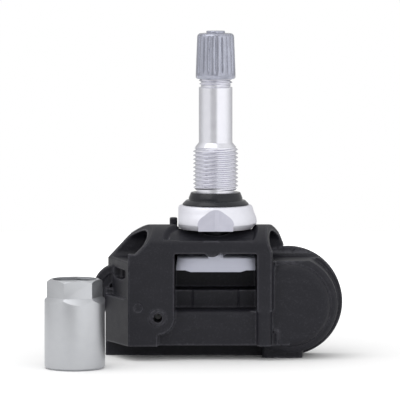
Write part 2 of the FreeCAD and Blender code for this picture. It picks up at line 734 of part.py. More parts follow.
def transmit_antenna():
    """A flat wire loop standing on the board by its two legs."""
    x0, x1 = -WINDOW_HALF / 4, WINDOW_HALF * 0.45
    high_y, thick = WALL_FRONT_Y + 3 * WALL, 4 * TAB_THICK
    outline = [(x0, BOARD_FRONT_Y), (x0, high_y), (x1, high_y), (x1, BOARD_FRONT_Y),
               (x1 - thick, BOARD_FRONT_Y), (x1 - thick, high_y + thick), (x0 + thick, high_y + thick),
               (x0 + thick, BOARD_FRONT_Y)]
    z = SILL_Z - 3 * WALL
    return prism_along_z(outline, z - thick / 2, z + thick / 2)


def board_passives():
    """Small resistors and capacitors along the foot of the board."""
    low_z = BELLY_Z + 2 * WALL + PASSIVE_WIDTH / 2
    parts = []
    for i in (-1, 0, 1):
        parts.append(board_part(i * PASSIVE_PITCH, low_z, PASSIVE_LENGTH, PASSIVE_WIDTH, PASSIVE_THICK))
        x, z = PANEL_LEFT_X + 2 * WALL, PORT_Z + i * PASSIVE_RISE
        parts.append(board_part(x, z, PASSIVE_WIDTH, PASSIVE_LENGTH, PASSIVE_THICK))
    return Part.makeCompound(parts)


# Valve

def collar_cutters():
    """The three flats of the collar: front and back for a spanner, left against the peg."""
    z0, z1 = COLLAR_Z - OVER, NECK_Z
    cutters = [block(-FAR, FAR, -FAR, -COLLAR_FLAT, z0, z1), block(-FAR, FAR, COLLAR_FLAT, FAR, z0, z1)]
    cutters.append(block(-FAR, -COLLAR_FLAT, -FAR, FAR, z0, z1))
    return cutters


def valve_stem():
    """The turned stem with its collar, from the clamp bar's underside to the cap."""
    edge = COLLAR_CHAMFER / 10
    profile = [(0, BAR_BOTTOM_Z), (SPIGOT_R, BAR_BOTTOM_Z), (SPIGOT_R, COLLAR_Z), (COLLAR_BOTTOM_R, COLLAR_Z),
               (COLLAR_R, COLLAR_Z + COLLAR_CHAMFER), (COLLAR_R, COLLAR_Z + COLLAR_CHAMFER + edge),
               (COLLAR_CREASE_R, COLLAR_Z + COLLAR_CREASE), (COLLAR_TOP_R, NECK_Z - 2 * edge),
               (COLLAR_TOP_R - 2 * edge, NECK_Z), (NECK_R, NECK_Z), (NECK_R, RELIEF_Z), (RELIEF_R, RELIEF_Z),
               (RELIEF_R, SHANK_Z), (SHANK_R - SHANK_CHAMFER, SHANK_Z), (SHANK_R, SHANK_Z + SHANK_CHAMFER),
               (SHANK_R, TAPER_Z - SHANK_CHAMFER), (SHANK_R - SHANK_CHAMFER, TAPER_Z), (BARREL_R, BARREL_Z),
               (BARREL_R, TIP_Z), (TIP_R - TIP_CHAMFER / 2, TIP_Z), (TIP_R, TIP_Z + TIP_CHAMFER),
               (TIP_R, STEM_TOP_Z - TIP_CHAMFER), (TIP_R - TIP_CHAMFER, STEM_TOP_Z), (0, STEM_TOP_Z)]
    land = block(-LAND_HALF, LAND_HALF, -COLLAR_FLAT, COLLAR_FLAT, COLLAR_Z, COLLAR_Z + COLLAR_CHAMFER)
    stem = turned(profile).cut(collar_cutters()).fuse(land)
    bore = rod_along_z(PASSAGE_R, BAR_BOTTOM_Z - OVER, STEM_TOP_Z)
    return stem.cut(bore.fuse(rod_along_z(CORE_BORE_R, CORE_FLOOR_Z, STEM_TOP_Z + OVER)))


def is_bar_shoulder(edge):
    """Whether an edge is one where the bar's round back meets its front or back."""
    return runs_along(edge, Vector(1, 0, 0)) and edge.CenterOfMass.z > BAR_BOTTOM_Z + OVER


def bar_end_slant():
    """What the leaning left end of the bar takes away."""
    top_z = TILT_Z + BAR_R + OVER
    side = [(-BAR_HALF_LENGTH, BAR_BOTTOM_Z), (-BAR_HALF_LENGTH + BAR_END_SLANT, top_z),
            (-BAR_HALF_LENGTH - OVER, top_z), (-BAR_HALF_LENGTH - OVER, BAR_BOTTOM_Z)]
    return prism_along_y(side, -FAR, FAR)


def bar_boss():
    """The square middle of the bar, with its upright edges chamfered."""
    solid = block(-BOSS_HALF, BOSS_HALF, -BAR_HALF_DEPTH, BAR_HALF_DEPTH, BAR_BOTTOM_Z, BOSS_TOP_Z)
    upright = [edge for edge in solid.Edges if runs_along(edge, Vector(0, 0, 1))]
    return solid.makeChamfer(BOSS_CHAMFER, upright)


def clamp_bar():
    """The round-backed bar inside the arch that the stem screws into."""
    bar = rod_along_x(BAR_R, -BAR_HALF_LENGTH, BAR_HALF_LENGTH, TILT_Z)
    keep = block(-FAR, FAR, -BAR_HALF_DEPTH, BAR_HALF_DEPTH, BAR_BOTTOM_Z, FAR)
    bar = bar.common(keep)
    bar = rounded(bar, BAR_TOP_ROUND, is_bar_shoulder)
    bar = bar.cut(bar_end_slant())
    belly = [(-BAR_BELLY_HALF - BAR_BELLY_SLOPE, BAR_BOTTOM_Z), (-BAR_BELLY_HALF, BAR_BOTTOM_Z - BAR_BELLY),
             (BAR_BELLY_HALF, BAR_BOTTOM_Z - BAR_BELLY), (BAR_BELLY_HALF + BAR_BELLY_SLOPE, BAR_BOTTOM_Z)]
    neck = rod_along_z(SPIGOT_R + SPIGOT_GAP / 2, BAR_BOTTOM_Z, TILT_Z + BAR_R + SPIGOT_GAP)
    bar = bar.fuse([prism_along_y(belly, -BAR_HALF_DEPTH, BAR_HALF_DEPTH), bar_boss(), neck])
    return bar.cut(rod_along_z(SPIGOT_R, BAR_BOTTOM_Z - OVER, FAR)).removeSplitter()


def grommet():
    z0, z1 = NECK_Z, NECK_Z + GROMMET_HEIGHT
    profile = [(NECK_R, z0), (GROMMET_BASE_R, z0), (GROMMET_BASE_R, z0 + GROMMET_FLANGE_HEIGHT / 4),
               (GROMMET_FLANGE_R, z0 + GROMMET_FLANGE_HEIGHT), (GROMMET_STEP_R, z0 + GROMMET_FLANGE_HEIGHT),
               (GROMMET_STEP_R, z0 + 1.5 * GROMMET_FLANGE_HEIGHT), (GROMMET_TOP_R, z1), (NECK_R, z1)]
    return turned(profile)


def core_body():
    """The brass plug that screws into the stem's mouth, slotted for its key."""
    head_foot = CORE_TOP_Z - CORE_HEAD_HEIGHT
    profile = [(CORE_HOLE_R, CORE_FOOT_Z), (CORE_NECK_R, CORE_FOOT_Z),
               (CORE_NECK_R, head_foot - CORE_SLOT / 2), (CORE_HEAD_R, head_foot),
               (CORE_HEAD_R, CORE_TOP_Z), (CORE_HOLE_R, CORE_TOP_Z)]
    slot = block(-FAR, FAR, -CORE_SLOT / 2, CORE_SLOT / 2, CORE_TOP_Z - CORE_SLOT, FAR)
    return turned(profile).cut(slot)


def core_barrel_seal():
    top = CORE_TOP_Z - CORE_SEAL_DROP
    return ring_along_z(CORE_HEAD_R, CORE_NECK_R, top - CORE_SEAL_HEIGHT, top)


def core_pin():
    top = STEM_TOP_Z - PIN_TOP_DROP
    flange_z = CORE_FOOT_Z - CUP_SEAL_THICK - PIN_FLANGE_THICK
    profile = [(0, flange_z), (PIN_FLANGE_R, flange_z), (PIN_FLANGE_R, flange_z + PIN_FLANGE_THICK),
               (PIN_R, flange_z + PIN_FLANGE_THICK), (PIN_R, top), (0, top)]
    return turned(profile)


def core_cup_seal():
    return ring_along_z(PIN_FLANGE_R, PIN_R, CORE_FOOT_Z - CUP_SEAL_THICK, CORE_FOOT_Z)


def core_spring():
    """The coil spring that holds the pin shut, on the ledge of the stem's bore."""
    z0 = CORE_FLOOR_Z + SPRING_WIRE_R
    z1 = CORE_FOOT_Z - CUP_SEAL_THICK - PIN_FLANGE_THICK - SPRING_WIRE_R
    count = SPRING_TURNS * SPRING_STEPS
    sections = []
    for i in range(count + 1):
        z = z0 + (z1 - z0) * i / count
        corners = []
        for r, up in ((-1, 0), (0, -1), (1, 0), (0, 1)):
            corners.append(Vector(SPRING_R + r * SPRING_WIRE_R, 0, z + up * SPRING_WIRE_R))
        wire = Part.makePolygon(corners + corners[:1])
        wire.rotate(Vector(0, 0, 0), Vector(0, 0, 1), 360 * i / SPRING_STEPS)
        sections.append(wire)
    return Part.makeLoft(sections, True, True)


def valve_cap():
    """The fluted cap, hollow up to its seal."""
    z0 = STEM_TOP_Z - CAP_DROP
    z1 = z0 + CAP_HEIGHT
    band_z = z0 + CAP_BAND
    profile = [(0, z0), (CAP_OUT_R - CAP_EDGE, z0), (CAP_OUT_R, z0 + CAP_EDGE), (CAP_OUT_R, band_z),
               (CAP_TOP_R, z1 - CAP_ROUND)]
    points = [Vector(r, 0, z) for r, z in profile]
    edges = [Part.LineSegment(a, b).toShape() for a, b in zip(points, points[1:])]
    inner = Vector(CAP_TOP_R - CAP_ROUND, 0, z1)
    bend = CAP_ROUND * math.sqrt(0.5)
    edges.append(Part.Arc(points[-1], Vector(inner.x + bend, 0, z1 - CAP_ROUND + bend), inner).toShape())
    top = [inner, Vector(CAP_KNOB_R, 0, z1), Vector(CAP_KNOB_R, 0, z1 + CAP_KNOB_HEIGHT),
           Vector(0, 0, z1 + CAP_KNOB_HEIGHT), points[0]]
    edges += [Part.LineSegment(a, b).toShape() for a, b in zip(top, top[1:])]
    solid = Part.Face(Part.Wire(edges)).revolve(Vector(0, 0, 0), Vector(0, 0, 1), 360)
    seal_z = STEM_TOP_Z + CAP_SEAL_GAP
    mouth = rod_along_z(CAP_MOUTH_R, z0 - OVER, z0 + CAP_MOUTH_HEIGHT)
    hollow = mouth.fuse([rod_along_z(TIP_R + CAP_FIT, z0, seal_z),
                         rod_along_z(CAP_SEAL_R + CAP_SEAL_FIT, z0, seal_z + CAP_SEAL_THICK)])
    return solid.cut([hollow] + cap_flutes(band_z, z1 - CAP_ROUND - CAP_EDGE))


def cap_flutes(z0, z1):
    """Grooves up the cap's tapered side, each running out at both ends."""
    lean = (CAP_OUT_R - CAP_TOP_R) / (z1 - z0)
    floor_z0, floor_z1 = z0 + CAP_FLUTE_DEPTH, z1 - CAP_FLUTE_DEPTH
    floor_r0 = CAP_OUT_R - CAP_FLUTE_DEPTH
    floor_r1 = floor_r0 - lean * (floor_z1 - floor_z0)
    out_r0, out_r1 = CAP_OUT_R + CAP_FLUTE_DEPTH, CAP_TOP_R + CAP_FLUTE_DEPTH
    flutes = []
    for i in range(CAP_FLUTES):
        outlines = []
        for z, out_r, floor_r in ((z0, out_r0, out_r0), (floor_z0, out_r0, floor_r0),
                                  (floor_z1, out_r1, floor_r1), (z1, out_r1, out_r1)):
            half = CAP_FLUTE_HALF
            outlines.append([Vector(floor_r, -half / 3, z), Vector(out_r + OVER, -half, z),
                             Vector(out_r + OVER, half, z), Vector(floor_r, half / 3, z)])
        flute = [Part.makePolygon(outline + outline[:1]) for outline in outlines]
        solid = Part.makeLoft(flute, True, True)
        solid.rotate(Vector(0, 0, 0), Vector(0, 0, 1), 360 * (i + 0.5) / CAP_FLUTES)
        flutes.append(solid)
    return flutes


def cap_seal():
    z0 = STEM_TOP_Z + CAP_SEAL_GAP
    return rod_along_z(CAP_SEAL_R, z0, z0 + CAP_SEAL_THICK)


# Retaining nut

def nut_flat():
    """What one flat of the nut's hexagon takes away, with its run-out at 45 degrees."""
    flat = NUT_HEX / 2
    foot = NUT_HEIGHT - NUT_HEX_HEIGHT
    out = NUT_R + NUT_CHAMFER
    side = [(flat, NUT_HEIGHT + OVER), (flat, foot), (out, foot - (out - flat)), (out, NUT_HEIGHT + OVER)]
    points = [Vector(x, -NUT_R, z) for x, z in side]
    return face_of(points).extrude(Vector(0, 2 * NUT_R, 0))


def stem_nut():
    profile = [(NUT_BORE_R, NUT_CHAMFER), (NUT_BORE_R + NUT_CHAMFER, 0), (NUT_R - NUT_CHAMFER, 0),
               (NUT_R, NUT_CHAMFER), (NUT_R, NUT_HEIGHT - NUT_CHAMFER / 2),
               (NUT_R - NUT_CHAMFER / 2, NUT_HEIGHT), (NUT_BORE_R + NUT_CHAMFER / 2, NUT_HEIGHT),
               (NUT_BORE_R, NUT_HEIGHT - NUT_CHAMFER / 2)]
    nut = turned(profile)
    cutters = []
    for i in range(6):
        cutter = nut_flat()
        cutter.rotate(Vector(0, 0, 0), Vector(0, 0, 1), NUT_HEX_TURN + 60 * i)
        cutters.append(cutter)
    nut = nut.cut(cutters)
    nut.translate(Vector(NUT_X, NUT_Y, 0))
    return nut


PIECES = {
    "housing": housing, "rear_cover": rear_cover,
    "circuit_board": circuit_board, "battery_cell": battery_cell,
    "battery_tab_positive": battery_tab_positive, "battery_tab_negative": battery_tab_negative,
    "sensor_chip": sensor_chip, "port_seal": port_seal, "port_filter": port_filter, "coil_core": coil_core,
    "coil_winding": coil_winding, "crystal": crystal, "transmit_antenna": transmit_antenna,
    "board_passives": board_passives, "valve_stem": valve_stem, "clamp_bar": clamp_bar, "grommet": grommet,
    "core_body": core_body, "core_barrel_seal": core_barrel_seal, "core_pin": core_pin,
    "core_cup_seal": core_cup_seal, "core_spring": core_spring, "valve_cap": valve_cap, "cap_seal": cap_seal,
    "stem_nut": stem_nut,
}


def main():
    os.makedirs("parts", exist_ok=True)
    for name, build in PIECES.items():
        shape = build()
        shape.translate(Vector(0, -FLANGE_MID_Y, 0))
        shape.exportStep(f"parts/{name}.step")
        box = shape.optimalBoundingBox()
        print(f"{name}: solids {len(shape.Solids)}, valid {shape.isValid()}, volume {shape.Volume:.1f}, "
              f"x {box.XMin:.2f} {box.XMax:.2f}, y {box.YMin:.2f} {box.YMax:.2f}, "
              f"z {box.ZMin:.2f} {box.ZMax:.2f}")


main()
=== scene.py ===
import logging
import math
from dataclasses import dataclass, field
from enum import Enum
from typing import Callable, Sequence

import bmesh
import bpy
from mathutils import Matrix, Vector


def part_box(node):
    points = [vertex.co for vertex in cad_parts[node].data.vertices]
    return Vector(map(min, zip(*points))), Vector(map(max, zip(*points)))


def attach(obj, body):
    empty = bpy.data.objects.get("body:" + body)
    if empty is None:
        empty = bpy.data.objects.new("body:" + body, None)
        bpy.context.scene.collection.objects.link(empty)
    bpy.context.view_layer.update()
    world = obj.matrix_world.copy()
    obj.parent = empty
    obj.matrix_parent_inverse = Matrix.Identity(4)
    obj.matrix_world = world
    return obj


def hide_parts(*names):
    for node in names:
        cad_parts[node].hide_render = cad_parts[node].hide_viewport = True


# The looks of a tyre pressure sensor: its moulded housing, its turned valve stem with
# both threads, the rubber grommet, the smoked cap, the clamp bar and the retaining nut.
# Sizes are metres, written as millimetres times MM.

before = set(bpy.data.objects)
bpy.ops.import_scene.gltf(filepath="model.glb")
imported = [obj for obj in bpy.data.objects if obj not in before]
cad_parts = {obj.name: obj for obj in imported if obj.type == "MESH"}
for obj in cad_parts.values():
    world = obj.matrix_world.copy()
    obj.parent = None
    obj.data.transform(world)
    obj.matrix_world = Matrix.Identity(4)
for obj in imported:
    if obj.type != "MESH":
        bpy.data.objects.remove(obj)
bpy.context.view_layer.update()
LOG = logging.getLogger("tyre_pressure_sensor")

MM = 0.001
TINY = 1e-6
Colour = tuple[float, float, float]
Point = tuple[float, float]


class Body(Enum):
    """The bodies that the new pieces ride on."""

    ROOT = "root"
    VALVE = "valve"
    CAP = "cap"


class Slot(Enum):
    """The record's material slots for the new pieces, which are passed along but never set."""

    HOUSING = "housing_plastic"
    STEM = "stem_aluminium"
    BAR = "bar_aluminium"
    NUT = "nut_aluminium"
    GROMMET = "grommet_rubber"
    CAP = "cap_plastic"


# Shader maths


class Signal:
    """A node's output, so that shader maths reads as a Python expression."""

    def __init__(self, recipe: "Recipe", socket: bpy.types.NodeSocket) -> None:
        """Keeps the socket and the recipe whose nodes carry it."""
        self.recipe = recipe
        self.socket = socket

    def _math(self, operation: str, first: "Number", second: "Number") -> "Signal":
        """Adds one Math node.

        Args:
            operation: The node's operation.
            first: Its first value.
            second: Its second value.

        Returns:
            The node's result.
        """
        return self.recipe.add("ShaderNodeMath", {"operation": operation}, {0: first, 1: second})

    def __add__(self, other: "Number") -> "Signal":
        """This signal plus another."""
        return self._math("ADD", self, other)

    def __sub__(self, other: "Number") -> "Signal":
        """This signal minus another."""
        return self._math("SUBTRACT", self, other)

    def __rsub__(self, other: "Number") -> "Signal":
        """A number minus this signal."""
        return self._math("SUBTRACT", other, self)

    def __mul__(self, other: "Number") -> "Signal":
        """This signal times another."""
        return self._math("MULTIPLY", self, other)

    def __truediv__(self, other: "Number") -> "Signal":
        """This signal divided by another."""
        return self._math("DIVIDE", self, other)

    __radd__ = __add__
    __rmul__ = __mul__

    def part(self, index: int) -> "Signal":
        """One number of this vector: 0 for X, 1 for Y, 2 for Z."""
        return self.recipe.add("ShaderNodeSeparateXYZ", {}, {0: self}, output=index)

    def band(self, low: float, high: float) -> "Signal":
        """Rises smoothly from 0 to 1.

        Args:
            low: Where it leaves 0.
            high: Where it reaches 1.

        Returns:
            The smoothed signal.
        """
        return self.recipe.add("ShaderNodeMapRange", {"interpolation_type": "SMOOTHSTEP"},
                               {0: self, 1: low, 2: high, 3: 0.0, 4: 1.0})

    def between(self, low: float, high: float) -> "Signal":
        """This signal of 0 to 1 spread over another range."""
        return self * (high - low) + low

    def mix(self, first: Colour, second: Colour) -> "Signal":
        """Blends two colours.

        Args:
            first: The colour where this signal is 0.
            second: The colour where it is 1.

        Returns:
            The blended colour.
        """
        return self.recipe.add("ShaderNodeMix", {"data_type": "RGBA"},
                               {0: self, 6: (*first, 1.0), 7: (*second, 1.0)}, output=2)


Number = float | Signal


class Recipe:
    """A surface or a sky, and the nodes that make it."""

    def __init__(self, name: str, sky: bool = False) -> None:
        """Starts a material that holds only its surface shader, or a world with its background."""
        self.material = bpy.data.worlds.new(name) if sky else bpy.data.materials.new(name)
        self.material.use_nodes = True
        self.tree = self.material.node_tree
        kind = "BACKGROUND" if sky else "BSDF_PRINCIPLED"
        self.surface = next(n for n in self.tree.nodes if n.type == kind)

    def add(self, kind: str, settings: dict, inputs: dict, output: int | str = 0) -> Signal:
        """Adds a node.

        Args:
            kind: The node's type.
            settings: What is set on the node before its sockets.
            inputs: Values or signals by socket.
            output: Which output to return.

        Returns:
            The chosen output.
        """
        node = self.tree.nodes.new(kind)
        for key, value in settings.items():
            setattr(node, key, value)
        for key, value in inputs.items():
            self.feed(node.inputs[key], value)
        return Signal(self, node.outputs[output])

    def feed(self, socket: bpy.types.NodeSocket, value: object) -> None:
        """Links a signal to a socket, or sets its value."""
        if isinstance(value, Signal):
            self.tree.links.new(value.socket, socket)
        else:
            socket.default_value = value

    def set(self, name: str, value: object) -> None:
        """Gives one socket of the surface shader its value or signal."""
        self.feed(self.surface.inputs[name], value)

    def ray(self, kind: str) -> Signal:
        """1 for rays of a kind, such as Is Camera Ray, and 0 for all others."""
        return self.add("ShaderNodeLightPath", {}, {}, output=kind)

    def millimetres(self, centre: Sequence[float] = (0.0, 0.0, 0.0),
                    stretch: Sequence[float] = (1.0, 1.0, 1.0)) -> Signal:
        """Object coordinates in millimetres.

        Args:
            centre: The point that becomes zero, in metres.
            stretch: How much finer the pattern runs along each axis.

        Returns:
            The coordinates.
        """
        scale = [s / MM for s in stretch]
        here = self.add("ShaderNodeTexCoord", {}, {}, output="Object")
        shift = [-c * s for c, s in zip(centre, scale)]
        return self.add("ShaderNodeMapping", {}, {"Vector": here, "Location": shift, "Scale": scale})

    def noise(self, where: Signal, scale: float, detail: float = 2.0, roughness: float = 0.5) -> Signal:
        """A noise of about 0 to 1.

        Args:
            where: Coordinates in millimetres.
            scale: Cells a millimetre.
            detail: Octaves.
            roughness: How strong the finer octaves are.

        Returns:
            The noise.
        """
        return self.add("ShaderNodeTexNoise", {}, {"Vector": where, "Scale": scale, "Detail": detail,
                                                   "Roughness": roughness})

    def relief(self, height: Signal, depth: float, strength: float = 1.0) -> None:
        """Feeds a height of 0 to 1 to the surface as a bump.

        Args:
            height: The height.
            depth: What a height of 1 stands for, in metres.
            strength: How strongly it shows.
        """
        self.set("Normal", self.add("ShaderNodeBump", {}, {"Height": height, "Distance": depth,
                                                           "Strength": strength}))


# Finishes


@dataclass(frozen=True)
class Finish:
    """What every finish has. The classes below add their own relief and variation."""

    name: str
    colour: Colour
    roughness: float
    metallic: float = 0.0

    def start(self) -> Recipe:
        """Starts the recipe with the plain colour, roughness and metallic."""
        recipe = Recipe(self.name)
        recipe.set("Base Color", (*self.colour, 1.0))
        recipe.set("Roughness", self.roughness)
        recipe.set("Metallic", self.metallic)
        return recipe

    def tinted(self, factor: float) -> Colour:
        """The finish's colour made lighter or darker by a factor."""
        return tuple(min(1.0, c * factor) for c in self.colour)

    def material(self) -> bpy.types.Material:
        """Builds the finish, or finds it if it is built already."""
        known = bpy.data.materials.get(self.name)
        return known if known else self.build()

    def build(self) -> bpy.types.Material:
        """A fine grain over the plain colour."""
        recipe = self.start()
        grain = recipe.noise(recipe.millimetres(), 7.0, detail=3.0)
        recipe.set("Base Color", grain.mix(self.tinted(0.8), self.tinted(1.2)))
        recipe.set("Roughness", grain.between(self.roughness - 0.06, self.roughness + 0.06))
        recipe.relief(grain, 0.01 * MM, 0.5)
        return recipe.material


@dataclass(frozen=True)
class MouldedPlastic(Finish):
    """Glass-filled plastic: spark-eroded grain, flow marks, and a painted highlight that lightens the edges
    in patches.
    """

    grain: float = 5.5
    specular: float = 0.24
    # The pale end of the tone, which flow marks, mottling and specks lighten towards, is also the colour of
    # the painted edge highlight; the reach sets how far round an edge that highlight spreads.
    pale_tone_and_edge_highlight: Colour = (0.085, 0.084, 0.098)
    edge_reach: float = 0.75
    flow_light: float = 0.16
    mottle_light: float = 0.30
    speck_light: float = 0.5
    # How strong the painted edge highlight is.
    rub: float = 0.7

    def build(self) -> bpy.types.Material:
        """Makes grain, flow marks and the painted edge highlight."""
        recipe = self.start()
        recipe.set("Specular IOR Level", self.specular)
        where = recipe.millimetres()
        grain = recipe.noise(where, self.grain, detail=4.0, roughness=0.62)
        flow = recipe.noise(recipe.millimetres(stretch=(0.35, 0.8, 1.0)), 0.45, detail=3.0)
        mottle = recipe.noise(where, 2.2, detail=3.0, roughness=0.65)
        specks = recipe.noise(where, 9.0, detail=1.0).band(0.70, 0.78)
        here = recipe.add("ShaderNodeNewGeometry", {}, {}, output="Normal")
        around = recipe.add("ShaderNodeBevel", {"samples": 8}, {"Radius": self.edge_reach * MM})
        likeness = recipe.add("ShaderNodeVectorMath", {"operation": "DOT_PRODUCT"}, {0: here, 1: around},
                              output="Value")
        # Painted highlight: edges and creases are lightened in patches in place of the light they catch;
        # the same mask makes them a little glossier.
        edge = (1.0 - likeness).band(0.001, 0.03)
        edge_highlight = edge * recipe.noise(where, 1.4, detail=3.0).band(0.20, 0.55) * self.rub
        light = (flow.band(0.3, 0.75) * self.flow_light + mottle.band(0.45, 0.75) * self.mottle_light
                 + specks * self.speck_light + edge_highlight).band(0.0, 1.6)
        recipe.set("Base Color", light.mix(self.tinted(0.85), self.pale_tone_and_edge_highlight))
        recipe.set("Roughness", flow.between(self.roughness - 0.09, self.roughness + 0.07)
                   + grain * 0.08 - edge_highlight * 0.15)
        recipe.relief(grain * 0.7 + flow * 0.3, 0.035 * MM, 0.42)
        return recipe.material


@dataclass(frozen=True)
class TurnedMetal(Finish):
    """Metal off a lathe: fine rings round an upright axis, and a soft cloudiness.

    It may be matte below a height, and it carries painted shade on a flat milled on its front,
    standing in for the dim front of the studio that the flat faces. Both are in millimetres.
    """

    centre: Point = (0.0, 0.0)
    rings: float = 9.0
    ring_depth: float = 0.004
    matte_below: float = 0.0
    matte_add: float = 0.0
    matte_metal: float = 1.0
    matte_light: float = 0.0
    milled_front: float = 99.0
    front_flat_shade: float = 0.30

    def build(self) -> bpy.types.Material:
        """Makes the turning rings, the cloudiness and a blasted grain."""
        recipe = self.start()
        centre = (*self.centre, 0.0)
        here = recipe.millimetres(centre)
        rings = recipe.noise(recipe.millimetres(centre, (0.02, 0.02, 1.0)), self.rings, detail=4.0,
                             roughness=0.7)
        cloud = recipe.noise(here, 0.55, detail=3.0)
        grain = recipe.noise(here, 8.0, detail=3.0, roughness=0.6)
        matte = 1.0 - here.part(2).band(self.matte_below - 0.3, self.matte_below + 0.3)
        forward = here.part(1) * -1.0
        # Painted shade: only the front flat is darkened and cooled, the one that faces the front; the back
        # and left flats keep the plain tone.
        front_flat_shade_mask = matte * forward.band(self.milled_front - 0.06, self.milled_front - 0.02)
        shade = (cloud * 0.6 + rings * 0.4).between(0.90, 1.06) + matte * self.matte_light \
            - front_flat_shade_mask * self.front_flat_shade
        cool = (*self.tinted(0.60)[:2], self.colour[2] * 0.67)
        recipe.set("Base Color", ((shade - 0.6) / 0.65).mix(cool, self.tinted(1.25)))
        recipe.set("Roughness", cloud.between(self.roughness - 0.04, self.roughness + 0.05)
                   + rings * 0.06 + matte * self.matte_add)
        if self.matte_metal < 1.0:
            recipe.set("Metallic", 1.0 - matte * (1.0 - self.matte_metal))
        recipe.relief(rings * (1.0 - matte * 0.7) + grain * (matte * 1.4 + 0.25), self.ring_depth * MM,
                      0.6)
        return recipe.material


@dataclass(frozen=True)
class Rubber(Finish):
    """Moulded rubber: a faint cloud and a very fine skin."""

    specular: float = 0.34

    def build(self) -> bpy.types.Material:
        """Makes the cloud and the skin."""
        recipe = self.start()
        where = recipe.millimetres()
        cloud = recipe.noise(where, 0.6, detail=3.0)
        skin = recipe.noise(where, 10.0, detail=2.0)
        recipe.set("Specular IOR Level", self.specular)
        recipe.set("Base Color", cloud.mix(self.tinted(0.8), self.tinted(1.35)))
        recipe.set("Roughness", cloud.between(self.roughness - 0.08, self.roughness + 0.08)
                   + skin * 0.05)
        recipe.relief(skin, 0.008 * MM, 0.5)
        return recipe.material


@dataclass(frozen=True)
class SmokedPlastic(Finish):
    """Half-clear plastic with a smoky tint and a shiny skin."""

    clear: float = 0.8
    index: float = 1.49

    def build(self) -> bpy.types.Material:
        """Makes the tint, faint flow lines up the wall and a little relief."""
        recipe = self.start()
        flow = recipe.noise(recipe.millimetres(stretch=(1.0, 1.0, 0.12)), 1.6, detail=3.0)
        recipe.set("Base Color", flow.band(0.3, 0.7).mix(self.tinted(0.86), self.tinted(1.1)))
        recipe.set("Roughness", flow.between(self.roughness - 0.03, self.roughness + 0.05))
        recipe.set("Transmission Weight", self.clear)
        recipe.set("IOR", self.index)
        recipe.relief(flow, 0.02 * MM, 0.35)
        return recipe.material


@dataclass(frozen=True)
class WoundWire(Finish):
    """Enamelled wire wound side by side along X."""

    turns: float = 5.0

    def build(self) -> bpy.types.Material:
        """Makes the turns and their varied enamel."""
        recipe = self.start()
        where = recipe.millimetres()
        across = where.part(0) * (math.tau * self.turns)
        turns = recipe.add("ShaderNodeMath", {"operation": "SINE"}, {0: across})
        cloud = recipe.noise(where, 2.0, detail=2.0)
        recipe.set("Base Color", cloud.mix(self.tinted(0.75), self.tinted(1.2)))
        recipe.set("Roughness", cloud.between(self.roughness - 0.05, self.roughness + 0.08))
        recipe.relief(turns.between(0.5, 1.0), 0.03 * MM)
        return recipe.material


HOUSING_PLASTIC = MouldedPlastic("housing plastic", (0.0112, 0.0111, 0.0158), 0.50)
CHIP_EPOXY = MouldedPlastic("chip epoxy", (0.025, 0.025, 0.027), 0.5, grain=9.0)
GROMMET_RUBBER = Rubber("grommet rubber", (0.007, 0.008, 0.011), 0.20)
SEAL_RUBBER = Rubber("seal rubber", (0.03, 0.03, 0.032), 0.45)
BAR_ALUMINIUM = TurnedMetal("bar aluminium", (0.48, 0.49, 0.55), 0.40, 1.0, rings=3.0, ring_depth=0.012,
                            matte_below=40.0, matte_add=0.02)
CAP_PLASTIC = SmokedPlastic("cap plastic", (0.47, 0.485, 0.57), 0.10, 0.55, clear=0.62)
CORE_BRASS = TurnedMetal("core brass", (0.78, 0.60, 0.28), 0.28, 1.0, rings=6.0)
SPRING_STEEL = Finish("spring steel", (0.55, 0.55, 0.56), 0.3, 1.0)
CELL_STEEL = Finish("cell steel", (0.66, 0.66, 0.67), 0.28, 1.0)
TAB_NICKEL = Finish("tab nickel", (0.64, 0.63, 0.59), 0.33, 1.0)
CRYSTAL_CAN = Finish("crystal can", (0.68, 0.67, 0.63), 0.25, 1.0)
LAMINATE = Finish("board laminate", (0.015, 0.14, 0.06), 0.32)
MEMBRANE = Finish("filter membrane", (0.80, 0.80, 0.79), 0.8)
FERRITE = Finish("ferrite", (0.08, 0.08, 0.085), 0.6)
CERAMIC = Finish("ceramic", (0.52, 0.42, 0.30), 0.5)
COPPER_WIRE = WoundWire("copper wire", (0.70, 0.32, 0.14), 0.3, 0.9)


# The bench: one function for each thing done to a mesh by hand


def let_go() -> None:
    """Leaves edit mode and deselects everything."""
    if bpy.context.mode != "OBJECT":
        bpy.ops.object.mode_set(mode="OBJECT")
    bpy.ops.object.select_all(action="DESELECT")


def take(piece: bpy.types.Object, *others: bpy.types.Object) -> None:
    """Selects objects alone.

    Args:
        piece: The one that becomes active.
        others: The rest.
    """
    let_go()
    for one in (piece, *others):
        one.select_set(True)
    bpy.context.view_layer.objects.active = piece


def edit(piece: bpy.types.Object, element: str = "EDGE", action: str = "DESELECT") -> None:
    """Opens a piece in edit mode.

    Args:
        piece: The piece.
        element: VERT, EDGE or FACE.
        action: SELECT or DESELECT, for everything in it.
    """
    take(piece)
    bpy.ops.object.mode_set(mode="EDIT")
    bpy.ops.mesh.select_mode(type=element)
    bpy.ops.mesh.select_all(action=action)


def pick(piece: bpy.types.Object, kind: str, test: Callable[[object], bool]) -> int:
    """Selects the edges or faces that pass a test, in edit mode.

    Args:
        piece: The piece, open in edit mode.
        kind: edges or faces.
        test: Says yes to an edge or a face.

    Returns:
        How many are selected.
    """
    count = 0
    for element in getattr(bmesh.from_edit_mesh(piece.data), kind):
        if test(element):
            element.select_set(True)
            count += 1
    bmesh.update_edit_mesh(piece.data)
    return count


